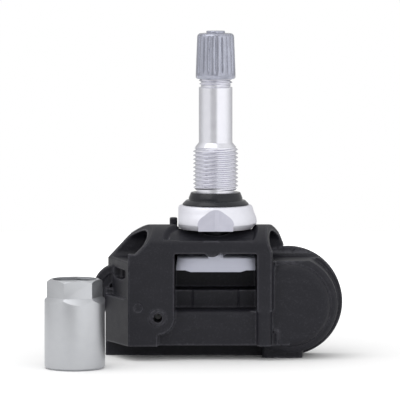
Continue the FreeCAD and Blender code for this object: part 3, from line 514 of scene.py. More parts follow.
def modify(piece: bpy.types.Object, kind: str, **settings: object) -> None:
    """Adds a modifier, sets it and applies it.

    Args:
        piece: The piece.
        kind: The modifier's type.
        settings: Its settings.
    """
    take(piece)
    bpy.ops.object.modifier_add(type=kind)
    modifier = piece.modifiers[-1]
    for key, value in settings.items():
        setattr(modifier, key, value)
    bpy.ops.object.modifier_apply(modifier=modifier.name)


def smooth(piece: bpy.types.Object, degrees: float = 35.0) -> None:
    """Shades a piece smooth, with edges sharper than an angle left crisp."""
    take(piece)
    bpy.ops.object.shade_smooth_by_angle(angle=math.radians(degrees))


def seal_mesh(piece: bpy.types.Object) -> None:
    """Merges doubles and turns all faces outwards."""
    edit(piece, "VERT", "SELECT")
    bpy.ops.mesh.remove_doubles(threshold=TINY * 2)
    bpy.ops.mesh.normals_make_consistent(inside=False)
    let_go()


def copy_of(node: str, name: str) -> bpy.types.Object:
    """A merged copy of a CAD node's mesh as a new object.

    Args:
        node: The node.
        name: The copy's name.

    Returns:
        The copy.
    """
    piece = bpy.data.objects.new(name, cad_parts[node].data.copy())
    bpy.context.scene.collection.objects.link(piece)
    piece.data.materials.clear()
    edit(piece, "VERT", "SELECT")
    bpy.ops.mesh.remove_doubles(threshold=TINY)
    bpy.ops.mesh.customdata_custom_splitnormals_clear()
    let_go()
    return piece


def round_sharp(piece: bpy.types.Object, width: float, test: Callable[[bmesh.types.BMEdge], bool],
                segments: int = 2) -> None:
    """Bevels the edges that pass a test.

    Args:
        piece: The piece.
        width: The bevel's width.
        test: Says yes to an edge.
        segments: How many steps the round has.
    """
    edit(piece)
    if pick(piece, "edges", test):
        bpy.ops.mesh.bevel(offset=width, segments=segments, affect="EDGES", clamp_overlap=True)
    let_go()


def break_edges(piece: bpy.types.Object, width: float, degrees: float, segments: int = 2) -> None:
    """Rounds every edge that is sharper than an angle."""
    modify(piece, "BEVEL", width=width, segments=segments, limit_method="ANGLE",
           angle_limit=math.radians(degrees))


def drop_faces(piece: bpy.types.Object, test: Callable[[bmesh.types.BMFace], bool]) -> None:
    """Deletes the faces that pass a test."""
    edit(piece, "FACE")
    pick(piece, "faces", test)
    bpy.ops.mesh.delete(type="FACE")
    let_go()


def sharper_than(degrees: float) -> Callable[[bmesh.types.BMEdge], bool]:
    """A test for edges between two faces that meet at more than an angle."""
    limit = math.radians(degrees)
    return lambda edge: len(edge.link_faces) == 2 and edge.calc_face_angle(0.0) > limit


def axis_of(node: str) -> Point:
    """Where a CAD node's upright axis stands in X and Y."""
    low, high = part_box(node)
    return (low.x + high.x) / 2, (low.y + high.y) / 2


def trace(name: str, outline: Sequence[Point], centre: Point, origin: Sequence[float]) -> bpy.types.Object:
    """Draws an outline of edges in the XZ plane, and leaves it open in edit mode.

    Args:
        name: The object's name.
        outline: (radius, height) points, in metres.
        centre: What is added in X and Y to each point.
        origin: Where the object's origin stands.

    Returns:
        The object.
    """
    let_go()
    bpy.ops.mesh.primitive_plane_add(size=MM, location=origin)
    piece = bpy.context.object
    piece.name = name
    bpy.ops.object.mode_set(mode="EDIT")
    bpy.ops.mesh.select_mode(type="VERT")
    bpy.ops.mesh.select_all(action="SELECT")
    bpy.ops.mesh.merge(type="CENTER")
    bpy.ops.transform.translate(value=(centre[0] + outline[0][0], centre[1], outline[0][1]))
    for before, after in zip(outline, outline[1:]):
        step = (after[0] - before[0], 0.0, after[1] - before[1])
        bpy.ops.mesh.extrude_vertices_move(TRANSFORM_OT_translate={"value": step})
    return piece


def lathe(name: str, profile: Sequence[Point], centre: Point, segments: int = 128) -> bpy.types.Object:
    """Spins an outline about an upright axis.

    Args:
        name: The piece's name.
        profile: (radius, height) points, in metres.
        centre: Where the axis stands in X and Y.
        segments: Steps round the axis.

    Returns:
        The turned skin, open where the outline is.
    """
    piece = trace(name, profile, centre, (0.0, 0.0, 0.0))
    bpy.ops.mesh.select_all(action="SELECT")
    bpy.ops.mesh.spin(steps=segments, angle=math.tau, center=(*centre, 0.0), axis=(0.0, 0.0, 1.0))
    seal_mesh(piece)
    return piece


def join(piece: bpy.types.Object, *others: bpy.types.Object) -> bpy.types.Object:
    """Joins objects into the first one."""
    take(piece, *others)
    bpy.ops.object.join()
    return piece


def bridge(piece: bpy.types.Object, height: float, reach: float, low_radius: float, high_radius: float,
           centre: Point) -> None:
    """Bridges the two open rings that lie near one height.

    Args:
        piece: The piece.
        height: The height between the rings.
        reach: How far from it they may lie.
        low_radius: Leaves out rings nearer the axis.
        high_radius: Leaves out rings further from it.
        centre: Where the axis stands.
    """
    def near(edge: bmesh.types.BMEdge) -> bool:
        middle = (edge.verts[0].co + edge.verts[1].co) / 2
        radius = math.hypot(middle.x - centre[0], middle.y - centre[1])
        return edge.is_boundary and abs(middle.z - height) < reach and low_radius < radius < high_radius

    edit(piece)
    if pick(piece, "edges", near):
        bpy.ops.mesh.bridge_edge_loops()
    let_go()


def box(name: str, low: Sequence[float], high: Sequence[float]) -> bpy.types.Object:
    """A block between two corners, as a blank or a tool for combine.

    Args:
        name: Its name.
        low: Its lowest corner.
        high: Its highest corner.

    Returns:
        The block.
    """
    let_go()
    bpy.ops.mesh.primitive_cube_add(size=1.0, location=(0.0, 0.0, 0.0))
    piece = bpy.context.object
    piece.name = name
    bpy.ops.object.mode_set(mode="EDIT")
    bpy.ops.mesh.select_all(action="SELECT")
    bpy.ops.transform.resize(value=[b - a for a, b in zip(low, high)])
    bpy.ops.transform.translate(value=[(a + b) / 2 for a, b in zip(low, high)])
    let_go()
    return piece


def rod(name: str, radius: float, middle: Sequence[float], length: float, along: str) -> bpy.types.Object:
    """A round bar that lies along X or Y, as a blank or a tool for combine.

    Args:
        name: Its name.
        radius: Its radius.
        middle: Its middle.
        length: Its length.
        along: X or Y.

    Returns:
        The bar.
    """
    let_go()
    turn = (0.0, math.pi / 2, 0.0) if along == "X" else (math.pi / 2, 0.0, 0.0)
    bpy.ops.mesh.primitive_cylinder_add(vertices=128, radius=radius, depth=length, location=middle,
                                        rotation=turn)
    piece = bpy.context.object
    piece.name = name
    bpy.ops.object.transform_apply(location=True, rotation=True, scale=True)
    return piece


def combine(piece: bpy.types.Object, tool: bpy.types.Object, operation: str) -> None:
    """Joins a tool to a piece, or cuts it away, and throws the tool out.

    Args:
        piece: The piece.
        tool: The other solid.
        operation: UNION, DIFFERENCE or INTERSECT.
    """
    modify(piece, "BOOLEAN", object=tool, operation=operation, solver="EXACT")
    bpy.data.objects.remove(tool)


@dataclass(frozen=True)
class ScrewThread:
    """A single-start right-hand thread of 60 degrees, cut off square and chamfered at both ends."""

    crest: float
    root: float
    low: float
    high: float
    pitch: float
    centre: Point
    end_radius: float
    steps: int = 96

    def skin(self, name: str) -> bpy.types.Object:
        """Winds the thread.

        Args:
            name: The skin's name.

        Returns:
            The thread's skin, open at both ends, where it has the end radius.
        """
        flat, flank = self.pitch / 8, self.pitch * 3 / 8
        middle = (self.crest + self.root) / 2
        outline = [(self.root, 0.0), (self.root, flat), (middle, flat + flank / 2),
                   (self.crest, flat + flank), (self.crest, 2 * flat + flank),
                   (middle, 2 * flat + flank * 1.5), (self.root, self.pitch)]
        piece = trace(name, outline, (0.0, 0.0), (*self.centre, self.low - self.pitch * 1.5))
        let_go()
        turns = math.ceil((self.high - self.low) / self.pitch) + 3
        modify(piece, "SCREW", axis="Z", screw_offset=self.pitch, angle=math.tau, iterations=turns,
               steps=self.steps, render_steps=self.steps, use_merge_vertices=True, merge_threshold=TINY * 2)
        take(piece)
        bpy.ops.object.transform_apply(location=True, rotation=True, scale=True)
        seal_mesh(piece)
        self.trim(piece)
        self.chamfer(piece)
        return piece

    def trim(self, piece: bpy.types.Object) -> None:
        """Cuts the skin square at its low and high ends."""
        for height, outward in ((self.low, -1.0), (self.high, 1.0)):
            edit(piece, action="SELECT")
            bpy.ops.mesh.bisect(plane_co=(*self.centre, height), plane_no=(0.0, 0.0, outward),
                                clear_outer=True, threshold=TINY)
            let_go()

    def chamfer(self, piece: bpy.types.Object) -> None:
        """Draws everything near an end in to a cone that ends at the end radius."""
        inward = self.crest < self.root
        for vertex in piece.data.vertices:
            arm = Vector((vertex.co.x - self.centre[0], vertex.co.y - self.centre[1]))
            depth = max(0.0, min(vertex.co.z - self.low, self.high - vertex.co.z))
            limit = self.end_radius - depth if inward else self.end_radius + depth
            wrong = arm.length < limit if inward else arm.length > limit
            if depth < TINY or wrong:
                arm = arm * (limit / arm.length)
                vertex.co.x, vertex.co.y = self.centre[0] + arm.x, self.centre[1] + arm.y


def finish_piece(piece: bpy.types.Object, body: Body, slot: Slot, finish: Finish, *nodes: str) -> None:
    """Gives a finished piece its body and material, and hides the nodes it stands for.

    Args:
        piece: The piece.
        body: The body that it rides on.
        slot: The record's slot; not used.
        finish: Its finish.
        nodes: The CAD nodes that it replaces.
    """
    piece.data.materials.clear()
    piece.data.materials.append(finish.material())
    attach(piece, body.value)
    if nodes:
        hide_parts(*nodes)
    low, high = Vector(piece.bound_box[0]), Vector(piece.bound_box[6])
    size = [round(s / MM, 2) for s in high - low]
    LOG.info("%s: %d faces, %s mm, on %s", piece.name, len(piece.data.polygons), size, body.value)


def repaint(finish: Finish, *nodes: str) -> None:
    """Gives CAD nodes that stay in view a finish."""
    for node in nodes:
        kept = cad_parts[node]
        kept.data.materials.clear()
        kept.data.materials.append(finish.material())
        LOG.info("%s keeps its shape, in %s", node, finish.name)


# The pieces


@dataclass
class Housing:
    """The moulded housing and its back cover, with the soft edges of a real moulding."""

    voxel: float = 0.15 * MM
    smoothing: int = 5
    triangles_kept: float = 190000.0
    cover_round: float = 0.18 * MM
    valve_y: float = -4.9 * MM
    tilt_z: float = 16.0 * MM
    seat: float = 13.7 * MM
    seat_left: float = -10.6 * MM
    seat_right: float = 9.6 * MM
    seat_half: float = 7.0 * MM
    seat_low: float = 26.5 * MM
    seat_high: float = 31.0 * MM
    tool_length: float = 40.0 * MM
    slot: float = 3.3 * MM
    slot_swing: float = 1.93 * MM
    step_half: float = 9.75 * MM
    step_low: float = 11.0 * MM
    step_high: float = 15.65 * MM
    step_front: float = -4.85 * MM
    step_back: float = 1.4 * MM
    eye: Sequence[float] = (-22.5 * MM, 0.4 * MM, 15.3 * MM)
    eye_fill: float = 4.3 * MM
    eye_hole: float = 2.2 * MM
    eye_thick: float = 2.6 * MM
    pocket_low: Sequence[float] = (-21.9 * MM, -3.4 * MM, 17.8 * MM)
    pocket_high: Sequence[float] = (-20.9 * MM, -1.5 * MM, 20.4 * MM)

    def build(self) -> None:
        """Makes both mouldings."""
        self.shell()
        self.cover()

    def shell(self) -> None:
        """Adds the small forms to the housing's solid, and grows all into one skin with soft edges."""
        step = box("window_step", (-self.step_half, self.step_front, self.step_low),
                   (self.step_half, self.step_back, self.step_high))
        web = rod("eye_web", self.eye_fill, self.eye, self.eye_thick, "Y")
        combine(web, rod("eye_hole", self.eye_hole, self.eye, 2 * self.eye_thick, "Y"), "DIFFERENCE")
        wall = box("pocket_wall", self.pocket_low, self.pocket_high)
        piece = join(copy_of("housing", "housing_shell"), self.collar_seat(), step, web, wall)
        voxel = self.voxel
        modify(piece, "REMESH", mode="VOXEL", voxel_size=voxel, adaptivity=0.0)
        modify(piece, "SMOOTH", factor=0.5, iterations=self.smoothing)
        triangles = 2 * len(piece.data.polygons)
        if triangles > self.triangles_kept:
            modify(piece, "DECIMATE", ratio=self.triangles_kept / triangles)
        take(piece)
        bpy.ops.object.shade_smooth()
        finish_piece(piece, Body.ROOT, Slot.HOUSING, HOUSING_PLASTIC, "housing")

    def collar_seat(self) -> bpy.types.Object:
        """The round seat under the collar, with the slot that the spigot swings in."""
        seat = rod("collar_seat", self.seat, (0.0, self.valve_y, self.tilt_z), self.tool_length, "X")
        keep = box("keep", (self.seat_left, self.valve_y - self.seat_half, self.seat_low),
                   (self.seat_right, self.valve_y + self.seat_half, self.seat_high))
        combine(seat, keep, "INTERSECT")
        low, high = self.tilt_z, self.tilt_z + self.tool_length / 2
        slot = box("slot", (-self.slot, self.valve_y - self.slot_swing, low),
                   (self.slot, self.valve_y + self.slot_swing, high))
        outline = [(0.0, low), (self.slot, low), (self.slot, high), (0.0, high)]
        combine(seat, slot, "DIFFERENCE")
        for swing in (-self.slot_swing, self.slot_swing):
            combine(seat, lathe("slot_end", outline, (0.0, self.valve_y + swing)), "DIFFERENCE")
        return seat

    def cover(self) -> None:
        """Rounds the back cover's rim."""
        piece = copy_of("rear_cover", "back_cover")
        break_edges(piece, self.cover_round, 30, segments=3)
        smooth(piece, 30)
        finish_piece(piece, Body.ROOT, Slot.HOUSING, HOUSING_PLASTIC, "rear_cover")


@dataclass
class ValveStem:
    """The turned stem: collar, neck, threaded shank, barrel and threaded tip."""

    spigot: float = 3.0 * MM
    passage: float = 1.3 * MM
    core_bore: float = 2.62 * MM
    core_floor: float = 58.9 * MM
    collar_low: float = 29.9 * MM
    collar_outline: Sequence[Point] = (
        (8.20, 29.90), (8.48, 30.12), (8.98, 30.56), (9.36, 30.95), (9.50, 31.20), (9.53, 31.65),
        (9.45, 32.18), (9.32, 32.66), (9.14, 33.12), (8.95, 33.55), (8.78, 34.05), (8.55, 34.90),
        (8.35, 35.25), (7.90, 35.40))
    collar_flat: float = 8.60 * MM
    land_half: float = 4.0 * MM
    land_height: float = 1.9 * MM
    land_proud: float = 0.4 * MM
    ridge: float = 0.13 * MM
    neck_low: float = 35.4 * MM
    neck: float = 4.5 * MM
    relief_low: float = 38.35 * MM
    relief: float = 4.3 * MM
    shank_low: float = 38.85 * MM
    shank_crest: float = 5.18 * MM
    shank_root: float = 4.62 * MM
    shank_pitch: float = 0.93 * MM
    taper_low: float = 48.7 * MM
    barrel_low: float = 49.8 * MM
    barrel: float = 3.87 * MM
    tip_low: float = 62.6 * MM
    tip_crest: float = 3.85 * MM
    tip_root: float = 3.37 * MM
    tip_pitch: float = 0.794 * MM
    tip_lead: float = 0.25 * MM
    mouth_height: float = 0.3 * MM
    ridge_left: float = -0.50 * MM
    ridge_right: float = 0.75 * MM
    ridge_slope: float = 0.14 * MM
    ridge_drop: float = 1.1 * MM
    edge: float = 0.12 * MM
    rim_fall: float = 0.1 * MM
    relief_fall: float = 0.02 * MM
    seam: float = 0.04 * MM
    ring_room: float = 0.15
    centre: Point = field(init=False)
    bottom: float = field(init=False)
    top: float = field(init=False)

    def __post_init__(self) -> None:
        """Takes the axis and both ends from the frame."""
        self.centre = axis_of("grommet")
        low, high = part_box("valve_stem")
        self.bottom, self.top = low.z, high.z

    def build(self) -> None:
        """Turns the plain lengths, cuts the collar's flats and winds both threads."""
        foot = self.foot()
        shank = ScrewThread(self.shank_crest, self.shank_root, self.shank_low, self.taper_low,
                            self.shank_pitch, self.centre, self.shank_root)
        tip_high = self.top - self.mouth_height
        tip_low = self.tip_low + self.tip_lead
        tip = ScrewThread(self.tip_crest, self.tip_root, tip_low, tip_high, self.tip_pitch,
                          self.centre, self.tip_root)
        piece = join(foot, self.shaft(tip_low), self.mouth(tip_high), shank.skin("shank_thread"),
                     tip.skin("tip_thread"))
        for height, radius in ((self.shank_low, self.shank_root), (self.taper_low, self.shank_root),
                               (tip_low, self.tip_root), (tip_high, self.tip_root)):
            bridge(piece, height, 3 * self.seam, radius * (1 - self.ring_room),
                   radius * (1 + self.ring_room), self.centre)
        seal_mesh(piece)
        piece.name = "stem"
        smooth(piece, 32)
        finish_piece(piece, Body.VALVE, Slot.STEM, self.finish(), "valve_stem")

    def finish(self) -> Finish:
        """Turned aluminium, duller on the forged collar."""
        return TurnedMetal("stem aluminium", (0.745, 0.745, 0.775), 0.20, 1.0, centre=self.centre,
                           matte_below=self.neck_low / MM, matte_add=0.18, matte_metal=0.40,
                           matte_light=-0.06, ring_depth=0.002, milled_front=self.collar_flat / MM)

    def foot(self) -> bpy.types.Object:
        """The spigot, the collar with its land and flats, and the neck, open at the top."""
        profile = [(self.passage, self.bottom), (self.spigot, self.bottom), (self.spigot, self.collar_low)]
        profile += [(radius * MM, height * MM) for radius, height in self.collar_outline]
        profile += [(self.neck, self.neck_low), (self.neck, self.relief_low),
                    (self.passage, self.relief_low), (self.passage, self.bottom)]
        piece = lathe("stem_foot", profile, self.centre)
        reach = self.collar_flat + self.land_proud
        land = box("land", (-self.land_half, self.centre[1] - reach, self.collar_low),
                   (self.land_half, self.centre[1] + reach, self.collar_low + self.land_height))
        combine(piece, land, "UNION")
        self.cut_flats(piece)
        combine(piece, self.parting_ridge(), "UNION")
        round_sharp(piece, self.edge, lambda e: sharper_than(24)(e)
                    and self.collar_low - TINY < min(v.co.z for v in e.verts)
                    and max(v.co.z for v in e.verts) < self.neck_low + TINY, segments=3)
        drop_faces(piece, lambda f: f.calc_center_median().z > self.relief_low - TINY)
        return join(piece, self.bore(), self.undercut())

    def cut_flats(self, piece: bpy.types.Object) -> None:
        """Cuts the collar's flats: in front, behind and on the left."""
        flats = (((0.0, self.centre[1] - self.collar_flat), (0.0, -1.0)),
                 ((0.0, self.centre[1] + self.collar_flat), (0.0, 1.0)),
                 ((self.centre[0] - self.collar_flat, 0.0), (-1.0, 0.0)))
        for place, outward in flats:
            edit(piece, "FACE")
            pick(piece, "faces", lambda f: self.collar_low - TINY < f.calc_center_median().z
                       < self.neck_low + TINY)
            bpy.ops.mesh.bisect(plane_co=(*place, 0.0), plane_no=(*outward, 0.0), use_fill=True,
                                clear_outer=True, threshold=TINY)
            let_go()

    def parting_ridge(self) -> bpy.types.Object:
        """The forging's parting ridge on the front flat: steep on its left, gentle on its right."""
        front = self.centre[1] - self.collar_flat
        ridge = box("parting_ridge", (self.ridge_left, front - self.ridge, self.collar_low + self.edge),
                    (self.ridge_right, front + MM / 2, self.neck_low - self.ridge_drop))
        edit(ridge, "VERT")
        for vertex in bmesh.from_edit_mesh(ridge.data).verts:
            if vertex.co.y < front:
                shift = (self.ridge_slope, 0.0) if vertex.co.x < 0.0 else (0.0, self.ridge)
                vertex.co.x += shift[0]
                vertex.co.y += shift[1]
        let_go()
        return ridge

    def bore(self) -> bpy.types.Object:
        """The air passage above the neck and the room for the valve core."""
        profile = [(self.passage, self.relief_low), (self.passage, self.core_floor),
                   (self.core_bore, self.core_floor), (self.core_bore, self.top - self.edge * 2)]
        return lathe("stem_bore", profile, self.centre)

    def undercut(self) -> bpy.types.Object:
        """The relief between the neck and the shank's thread."""
        profile = [(self.neck, self.relief_low), (self.relief, self.relief_low),
                   (self.relief, self.shank_low - self.seam - self.relief_fall),
                   (self.shank_root, self.shank_low - self.seam)]
        return lathe("stem_undercut", profile, self.centre)

    def shaft(self, tip_low: float) -> bpy.types.Object:
        """The taper above the shank and the plain barrel.

        Args:
            tip_low: Where the tip's thread begins.

        Returns:
            The skin between the two threads.
        """
        profile = [(self.shank_root, self.taper_low + self.seam),
                   (self.shank_root + self.edge, self.taper_low + self.seam * 2),
                   (self.barrel + self.edge, self.barrel_low - self.edge), (self.barrel, self.barrel_low),
                   (self.barrel, self.tip_low - self.edge), (self.barrel - self.edge, self.tip_low),
                   (self.tip_root, self.tip_low + self.edge), (self.tip_root, tip_low - self.seam)]
        return lathe("stem_shaft", profile, self.centre)

    def mouth(self, tip_high: float) -> bpy.types.Object:
        """The rim round the valve's mouth.

        Args:
            tip_high: Where the tip's thread ends.

        Returns:
            The skin from there into the bore.
        """
        profile = [(self.tip_root, tip_high + self.seam), (self.tip_root - self.rim_fall, self.top),
                   (self.core_bore + self.edge, self.top), (self.core_bore, self.top - self.edge * 2)]
        return lathe("stem_mouth", profile, self.centre)


@dataclass
class SpigotSleeve:
    """The dark sleeve on the stem's spigot, between the clamp bar and the collar."""

    inner: float = 3.02 * MM
    outer: float = 3.14 * MM
    low: float = 25.35 * MM
    high: float = 29.85 * MM

    def build(self) -> None:
        """Turns the sleeve."""
        outline = [(self.inner, self.low), (self.outer, self.low), (self.outer, self.high),
                   (self.inner, self.high), (self.inner, self.low)]
        piece = lathe("spigot_sleeve", outline, axis_of("grommet"))
        smooth(piece, 40)
        finish_piece(piece, Body.VALVE, Slot.HOUSING, HOUSING_PLASTIC)


@dataclass
class Grommet:
    """The rubber seal on the neck, under the rim."""

    inner: float = 4.5 * MM
    base: float = 7.65 * MM
    flange: float = 6.8 * MM
    flange_height: float = 1.1 * MM
    step: float = 6.2 * MM
    top_radius: float = 5.7 * MM
    soft_edge: float = 0.22 * MM

    def build(self) -> None:
        """Turns the grommet and softens its edges."""
        low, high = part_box("grommet")
        shoulder = low.z + self.flange_height
        profile = [(self.inner, low.z), (self.base, low.z), (self.base, low.z + self.flange_height / 4),
                   (self.flange, shoulder), (self.step, shoulder),
                   (self.step, shoulder + self.flange_height / 2),
                   (self.top_radius, high.z), (self.inner, high.z), (self.inner, low.z)]
        piece = lathe("grommet_ring", profile, axis_of("grommet"))
        round_sharp(piece, self.soft_edge, sharper_than(20), segments=4)
        smooth(piece, 50)
        finish_piece(piece, Body.VALVE, Slot.GROMMET, GROMMET_RUBBER, "grommet")


@dataclass
class ValveCap:
    """The smoked cap: a tapered wall of rounded flutes, a plain foot band and a raised disc on top."""

    out: float = 4.58 * MM
    top_radius: float = 4.25 * MM
    shoulder: float = 0.85 * MM
    disc: float = 2.15 * MM
    disc_height: float = 0.55 * MM
    band: float = 1.15 * MM
    mouth: float = 4.15 * MM
    bore: float = 3.95 * MM
    seal_bore: float = 3.68 * MM
    seal_room: float = 0.02 * MM
    flutes: int = 18
    flute_depth: float = 0.26 * MM
    flute_round: float = 0.6
    flute_foot: float = 0.35 * MM
    flute_head: float = 1.1 * MM
    edge: float = 0.12 * MM
    columns: int = 10
    rows: int = 14
    shoulder_steps: int = 6
    foot_in: float = 0.25 * MM
    foot_up: float = 0.3 * MM
    disc_foot: float = 0.15 * MM
    disc_rise: float = 0.1 * MM
    rebate: float = 0.9
    flute_inside: float = 1.4
    flute_reach: float = 0.55

    def build(self) -> None:
        """Turns the cap and draws its flutes in."""
        low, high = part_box("valve_cap")
        centre = axis_of("valve_cap")
        wall = low.z + self.band, high.z - self.disc_height - self.shoulder
        piece = lathe("cap_outer", self.outside(low.z, high.z, *wall), centre, self.flutes * self.columns)
        self.draw_flutes(piece, centre, *wall)
        piece = join(piece, lathe("cap_inner", self.inside(low.z), centre, self.flutes * self.columns))
        piece.name = "cap_shell"
        seal_mesh(piece)
        smooth(piece, 40)
        finish_piece(piece, Body.CAP, Slot.CAP, CAP_PLASTIC, "valve_cap")

    def outside(self, low: float, high: float, wall_low: float, wall_high: float) -> list[Point]:
        """The outline from the mouth over the wall, the round shoulder and the disc.

        Args:
            low: The cap's foot.
            high: Its top.
            wall_low: Where the fluted wall begins.
            wall_high: Where it turns into the shoulder.

        Returns:
            The outline's points.
        """
        rim = high - self.disc_height
        profile = [(self.mouth, low), (self.out - self.foot_in, low), (self.out, low + self.foot_up)]
        for i in range(self.rows + 1):
            share = i / self.rows
            profile.append((self.out + (self.top_radius - self.out) * share,
                            wall_low + (wall_high - wall_low) * share))
        for i in range(1, self.shoulder_steps + 1):
            turn = math.radians(90.0 / self.shoulder_steps * i)
            profile.append((self.top_radius - self.shoulder * (1 - math.cos(turn)),
                            wall_high + self.shoulder * math.sin(turn)))
        return profile + [(self.disc + self.disc_foot, rim), (self.disc, rim + self.disc_rise),
                          (self.disc, high - self.edge), (self.disc - self.edge, high), (0.0, high)]

    def inside(self, low: float) -> list[Point]:
        """The outline of the ceiling over the seal, the bore and the wider mouth.

        Args:
            low: The cap's foot.

        Returns:
            The outline's points.
        """
        seal_low, seal_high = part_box("cap_seal")
        ceiling, rebate = seal_high.z + self.seal_room, low + self.band * self.rebate
        return [(0.0, ceiling), (self.seal_bore, ceiling), (self.seal_bore, seal_low.z),
                (self.bore, seal_low.z), (self.bore, rebate), (self.mouth, rebate), (self.mouth, low)]

    def draw_flutes(self, piece: bpy.types.Object, centre: Point, low: float, high: float) -> None:
        """Draws every flute in towards the axis, deepest in its middle and run out at both ends.

        Args:
            piece: The cap's outside.
            centre: Where the axis stands.
            low: Where the flutes begin.
            high: Where they end.
        """
        for vertex in piece.data.vertices:
            arm = Vector((vertex.co.x - centre[0], vertex.co.y - centre[1]))
            if arm.length < self.disc * self.flute_inside:
                continue
            phase = (math.atan2(arm.y, arm.x) / math.tau * self.flutes) % 1.0
            across = 1.0 - abs(math.cos(math.pi * phase)) ** self.flute_round
            foot = min(1.0, max(0.0, (vertex.co.z - low) / self.flute_foot))
            room = (high + self.shoulder * self.flute_reach - vertex.co.z) / self.flute_head
            head = math.sqrt(min(1.0, max(0.0, room)))
            drawn = self.flute_depth * across * foot * head
            arm = arm * ((arm.length - drawn) / arm.length)
            vertex.co.x, vertex.co.y = centre[0] + arm.x, centre[1] + arm.y


@dataclass
class ClampBar:
    """The round-backed bar inside the arch."""

    edge: float = 0.14 * MM

    def build(self) -> None:
        """Breaks the bar's edges."""
        piece = copy_of("clamp_bar", "clamp_bar_blank")
        break_edges(piece, self.edge, 32)
        smooth(piece, 34)
        finish_piece(piece, Body.VALVE, Slot.BAR, BAR_ALUMINIUM, "clamp_bar")


@dataclass
class StemNut:
    """The retaining nut that stands beside the sensor, threaded inside."""

    edge: float = 0.14 * MM
    crest: float = 4.72 * MM
    root: float = 5.18 * MM
    rim: float = 4.97 * MM
    pitch: float = 0.93 * MM
    mouth: float = 0.3 * MM
    cone_flat: float = 5.45 * MM
    cone_out: float = 9.0 * MM
    cone_slope: float = 0.58
    bore_room: float = 0.1 * MM
    ring_room: float = 0.1
    centre: Point = field(init=False)
    top: float = field(init=False)

    def __post_init__(self) -> None:
        """Takes the axis and the top from the frame."""
        self.centre = axis_of("stem_nut")
        self.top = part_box("stem_nut")[1].z

    def build(self) -> None:
        """Breaks the nut's edges and winds the thread in its bore."""
        piece = copy_of("stem_nut", "retaining_nut")
        combine(piece, self.top_cone(), "INTERSECT")
        break_edges(piece, self.edge, 25)
        drop_faces(piece, lambda f: all(self.reach(v.co) < self.root + self.bore_room for v in f.verts))
        thread = ScrewThread(self.crest, self.root, self.mouth, self.top - self.mouth, self.pitch,
                             self.centre, self.rim)
        join(piece, thread.skin("nut_thread"))
        for height in (0.0, self.top):
            bridge(piece, height, self.mouth * 1.5, self.rim * (1 - self.ring_room),
                   self.rim * (1 + self.ring_room), self.centre)
        seal_mesh(piece)
        smooth(piece, 30)
        finish_piece(piece, Body.ROOT, Slot.NUT, self.finish(), "stem_nut")

    def top_cone(self) -> bpy.types.Object:
        """The blank's cone, which breaks the corners of the hexagon at its top."""
        drop = (self.cone_out - self.cone_flat) * self.cone_slope
        outline = [(0.0, -MM), (self.cone_out, -MM), (self.cone_out, self.top - drop),
                   (self.cone_flat, self.top), (0.0, self.top + MM)]
        return lathe("top_cone", outline, self.centre)

    def reach(self, place: Vector) -> float:
        """How far a point lies from the nut's axis."""
        return math.hypot(place.x - self.centre[0], place.y - self.centre[1])

    def finish(self) -> Finish:
        """Satin aluminium with rings about the nut's own axis."""
        return TurnedMetal("nut aluminium", (0.51, 0.52, 0.525), 0.34, 1.0, centre=self.centre,
                           ring_depth=0.003)


@dataclass
class Inside:
    """Everything that stays as it is: the electronics, the valve core and the small seals."""

    def build(self) -> None:
        """Gives each kept node its finish."""
        repaint(LAMINATE, "circuit_board")
        repaint(CELL_STEEL, "battery_cell")
        repaint(TAB_NICKEL, "battery_tab_positive", "battery_tab_negative")
        repaint(CHIP_EPOXY, "sensor_chip")
        repaint(SEAL_RUBBER, "port_seal", "core_barrel_seal", "core_cup_seal", "cap_seal")
        repaint(MEMBRANE, "port_filter")
        repaint(FERRITE, "coil_core")
        repaint(COPPER_WIRE, "coil_winding", "transmit_antenna")
        repaint(CRYSTAL_CAN, "crystal")
        repaint(CERAMIC, "board_passives")
        repaint(CORE_BRASS, "core_body", "core_pin")
        repaint(SPRING_STEEL, "core_spring")


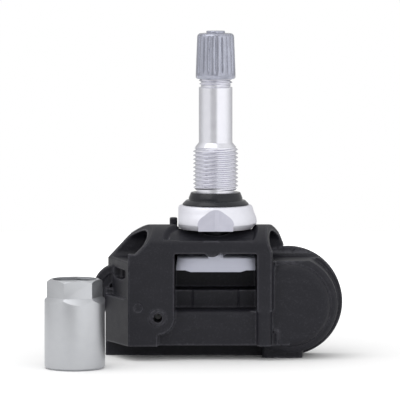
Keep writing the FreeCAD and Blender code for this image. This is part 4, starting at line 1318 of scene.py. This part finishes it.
@dataclass
class Studio:
    """White sweep, soft lamps and the camera."""

    camera_place: Sequence[float] = (-3.6 * MM, -804.9 * MM, 100.0 * MM)
    pitch_down: float = 4.54
    focal_px: float = 3474.0
    frame_px: float = 400.0
    sensor: float = 36.0
    floor_half: float = 0.32
    dim: float = 0.58
    left_card: float = 0.36
    right_card: float = 0.72
    overhead: float = 1.0
    glow: float = 0.45
    glow_from: float = 40.0
    glow_full: float = 170.0
    right_near: Point = (2.0, 14.0)
    right_far: Point = (50.0, 150.0)
    left_near: Point = (-46.0, -24.0)
    left_far: Point = (-135.0, -75.0)
    above: Point = (0.30, 0.80)

    def build(self) -> None:
        """Sets floor, light, camera and view."""
        self.floor()
        self.world()
        self.lamp("key softbox", (-0.26, -0.20, 0.58), (0.60, 0.60), 1.3)
        self.lamp("front fill", (0.05, -0.62, 0.22), (0.40, 0.30), 0.7, mirrored=False)
        self.camera()
        bpy.context.scene.view_settings.view_transform = "Standard"

    def floor(self) -> None:
        """A white floor that glows a little for the camera, so that only shadows are grey."""
        let_go()
        bpy.ops.mesh.primitive_plane_add(size=2 * self.floor_half, location=(0.0, 0.0, 0.0))
        floor = bpy.context.object
        floor.name = "floor"
        recipe = Recipe("floor white")
        recipe.set("Base Color", (0.90, 0.90, 0.90, 1.0))
        recipe.set("Roughness", 0.9)
        recipe.set("Specular IOR Level", 0.0)
        recipe.set("Emission Color", (1.0, 1.0, 1.0, 1.0))
        away = recipe.add("ShaderNodeVectorMath", {"operation": "LENGTH"}, {0: recipe.millimetres()},
                          output="Value")
        lit = away.band(self.glow_from, self.glow_full) * self.glow
        recipe.set("Emission Strength", recipe.ray("Is Camera Ray") * lit)
        floor.data.materials.append(recipe.material)

    def world(self) -> None:
        """White behind the object, with a bright top and cards of light to the right and the left.

        A card's near and far fields are degrees round from the camera, between which it
        comes up and dies away.
        """
        recipe = Recipe("studio", sky=True)
        bpy.context.scene.world = recipe.material
        toward = recipe.add("ShaderNodeTexCoord", {}, {}, output="Generated")
        x, y, z = (toward.part(i) for i in range(3))
        bearing = recipe.add("ShaderNodeMath", {"operation": "ARCTAN2"}, {0: x, 1: y * -1.0})
        turn = bearing * (180.0 / math.pi)
        right = turn.band(*self.right_near) * (1.0 - turn.band(*self.right_far))
        left = (1.0 - turn.band(*self.left_near)) * turn.band(*self.left_far)
        side = right * self.right_card + left * self.left_card + self.dim
        light = side + (self.overhead - side) * z.band(*self.above)
        seen = (recipe.ray("Is Camera Ray") + recipe.ray("Is Transmission Ray")).band(0.0, 1.0)
        recipe.set("Strength", light + (1.0 - light) * seen)
        recipe.set("Color", (1.0, 1.0, 1.0, 1.0))

    def lamp(self, name: str, place: Sequence[float], size: Point, power: float,
             mirrored: bool = True) -> None:
        """Adds a softbox that faces the object.

        Args:
            name: The lamp's name.
            place: Where it hangs.
            size: Its width and height.
            power: Its power in watts.
            mirrored: Whether shiny surfaces show it.
        """
        let_go()
        bpy.ops.object.light_add(type="AREA", location=place)
        lamp = bpy.context.object
        lamp.name = name
        lamp.data.shape = "RECTANGLE"
        lamp.data.size, lamp.data.size_y = size
        lamp.data.energy = power
        lamp.visible_glossy = mirrored
        aim = Vector((0.0, 0.0, 30.0 * MM)) - Vector(place)
        lamp.rotation_euler = aim.to_track_quat("-Z", "Y").to_euler()

    def camera(self) -> None:
        """Puts the camera where the photograph was taken from."""
        data = bpy.data.cameras.new("camera")
        camera = bpy.data.objects.new("camera", data)
        bpy.context.scene.collection.objects.link(camera)
        camera.location = self.camera_place
        camera.rotation_euler = (math.radians(90.0 - self.pitch_down), 0.0, 0.0)
        data.sensor_width = self.sensor
        data.lens = self.focal_px / self.frame_px * self.sensor
        data.clip_start, data.clip_end = 0.01, 20.0
        bpy.context.scene.camera = camera


def main() -> None:
    """Builds every piece and the studio."""
    logging.basicConfig(level=logging.INFO, format="%(name)s %(message)s")
    for maker in (Housing, ValveStem, SpigotSleeve, Grommet, ValveCap, ClampBar, StemNut, Inside, Studio):
        maker().build()
    let_go()


if __name__ == "__main__":
    main()
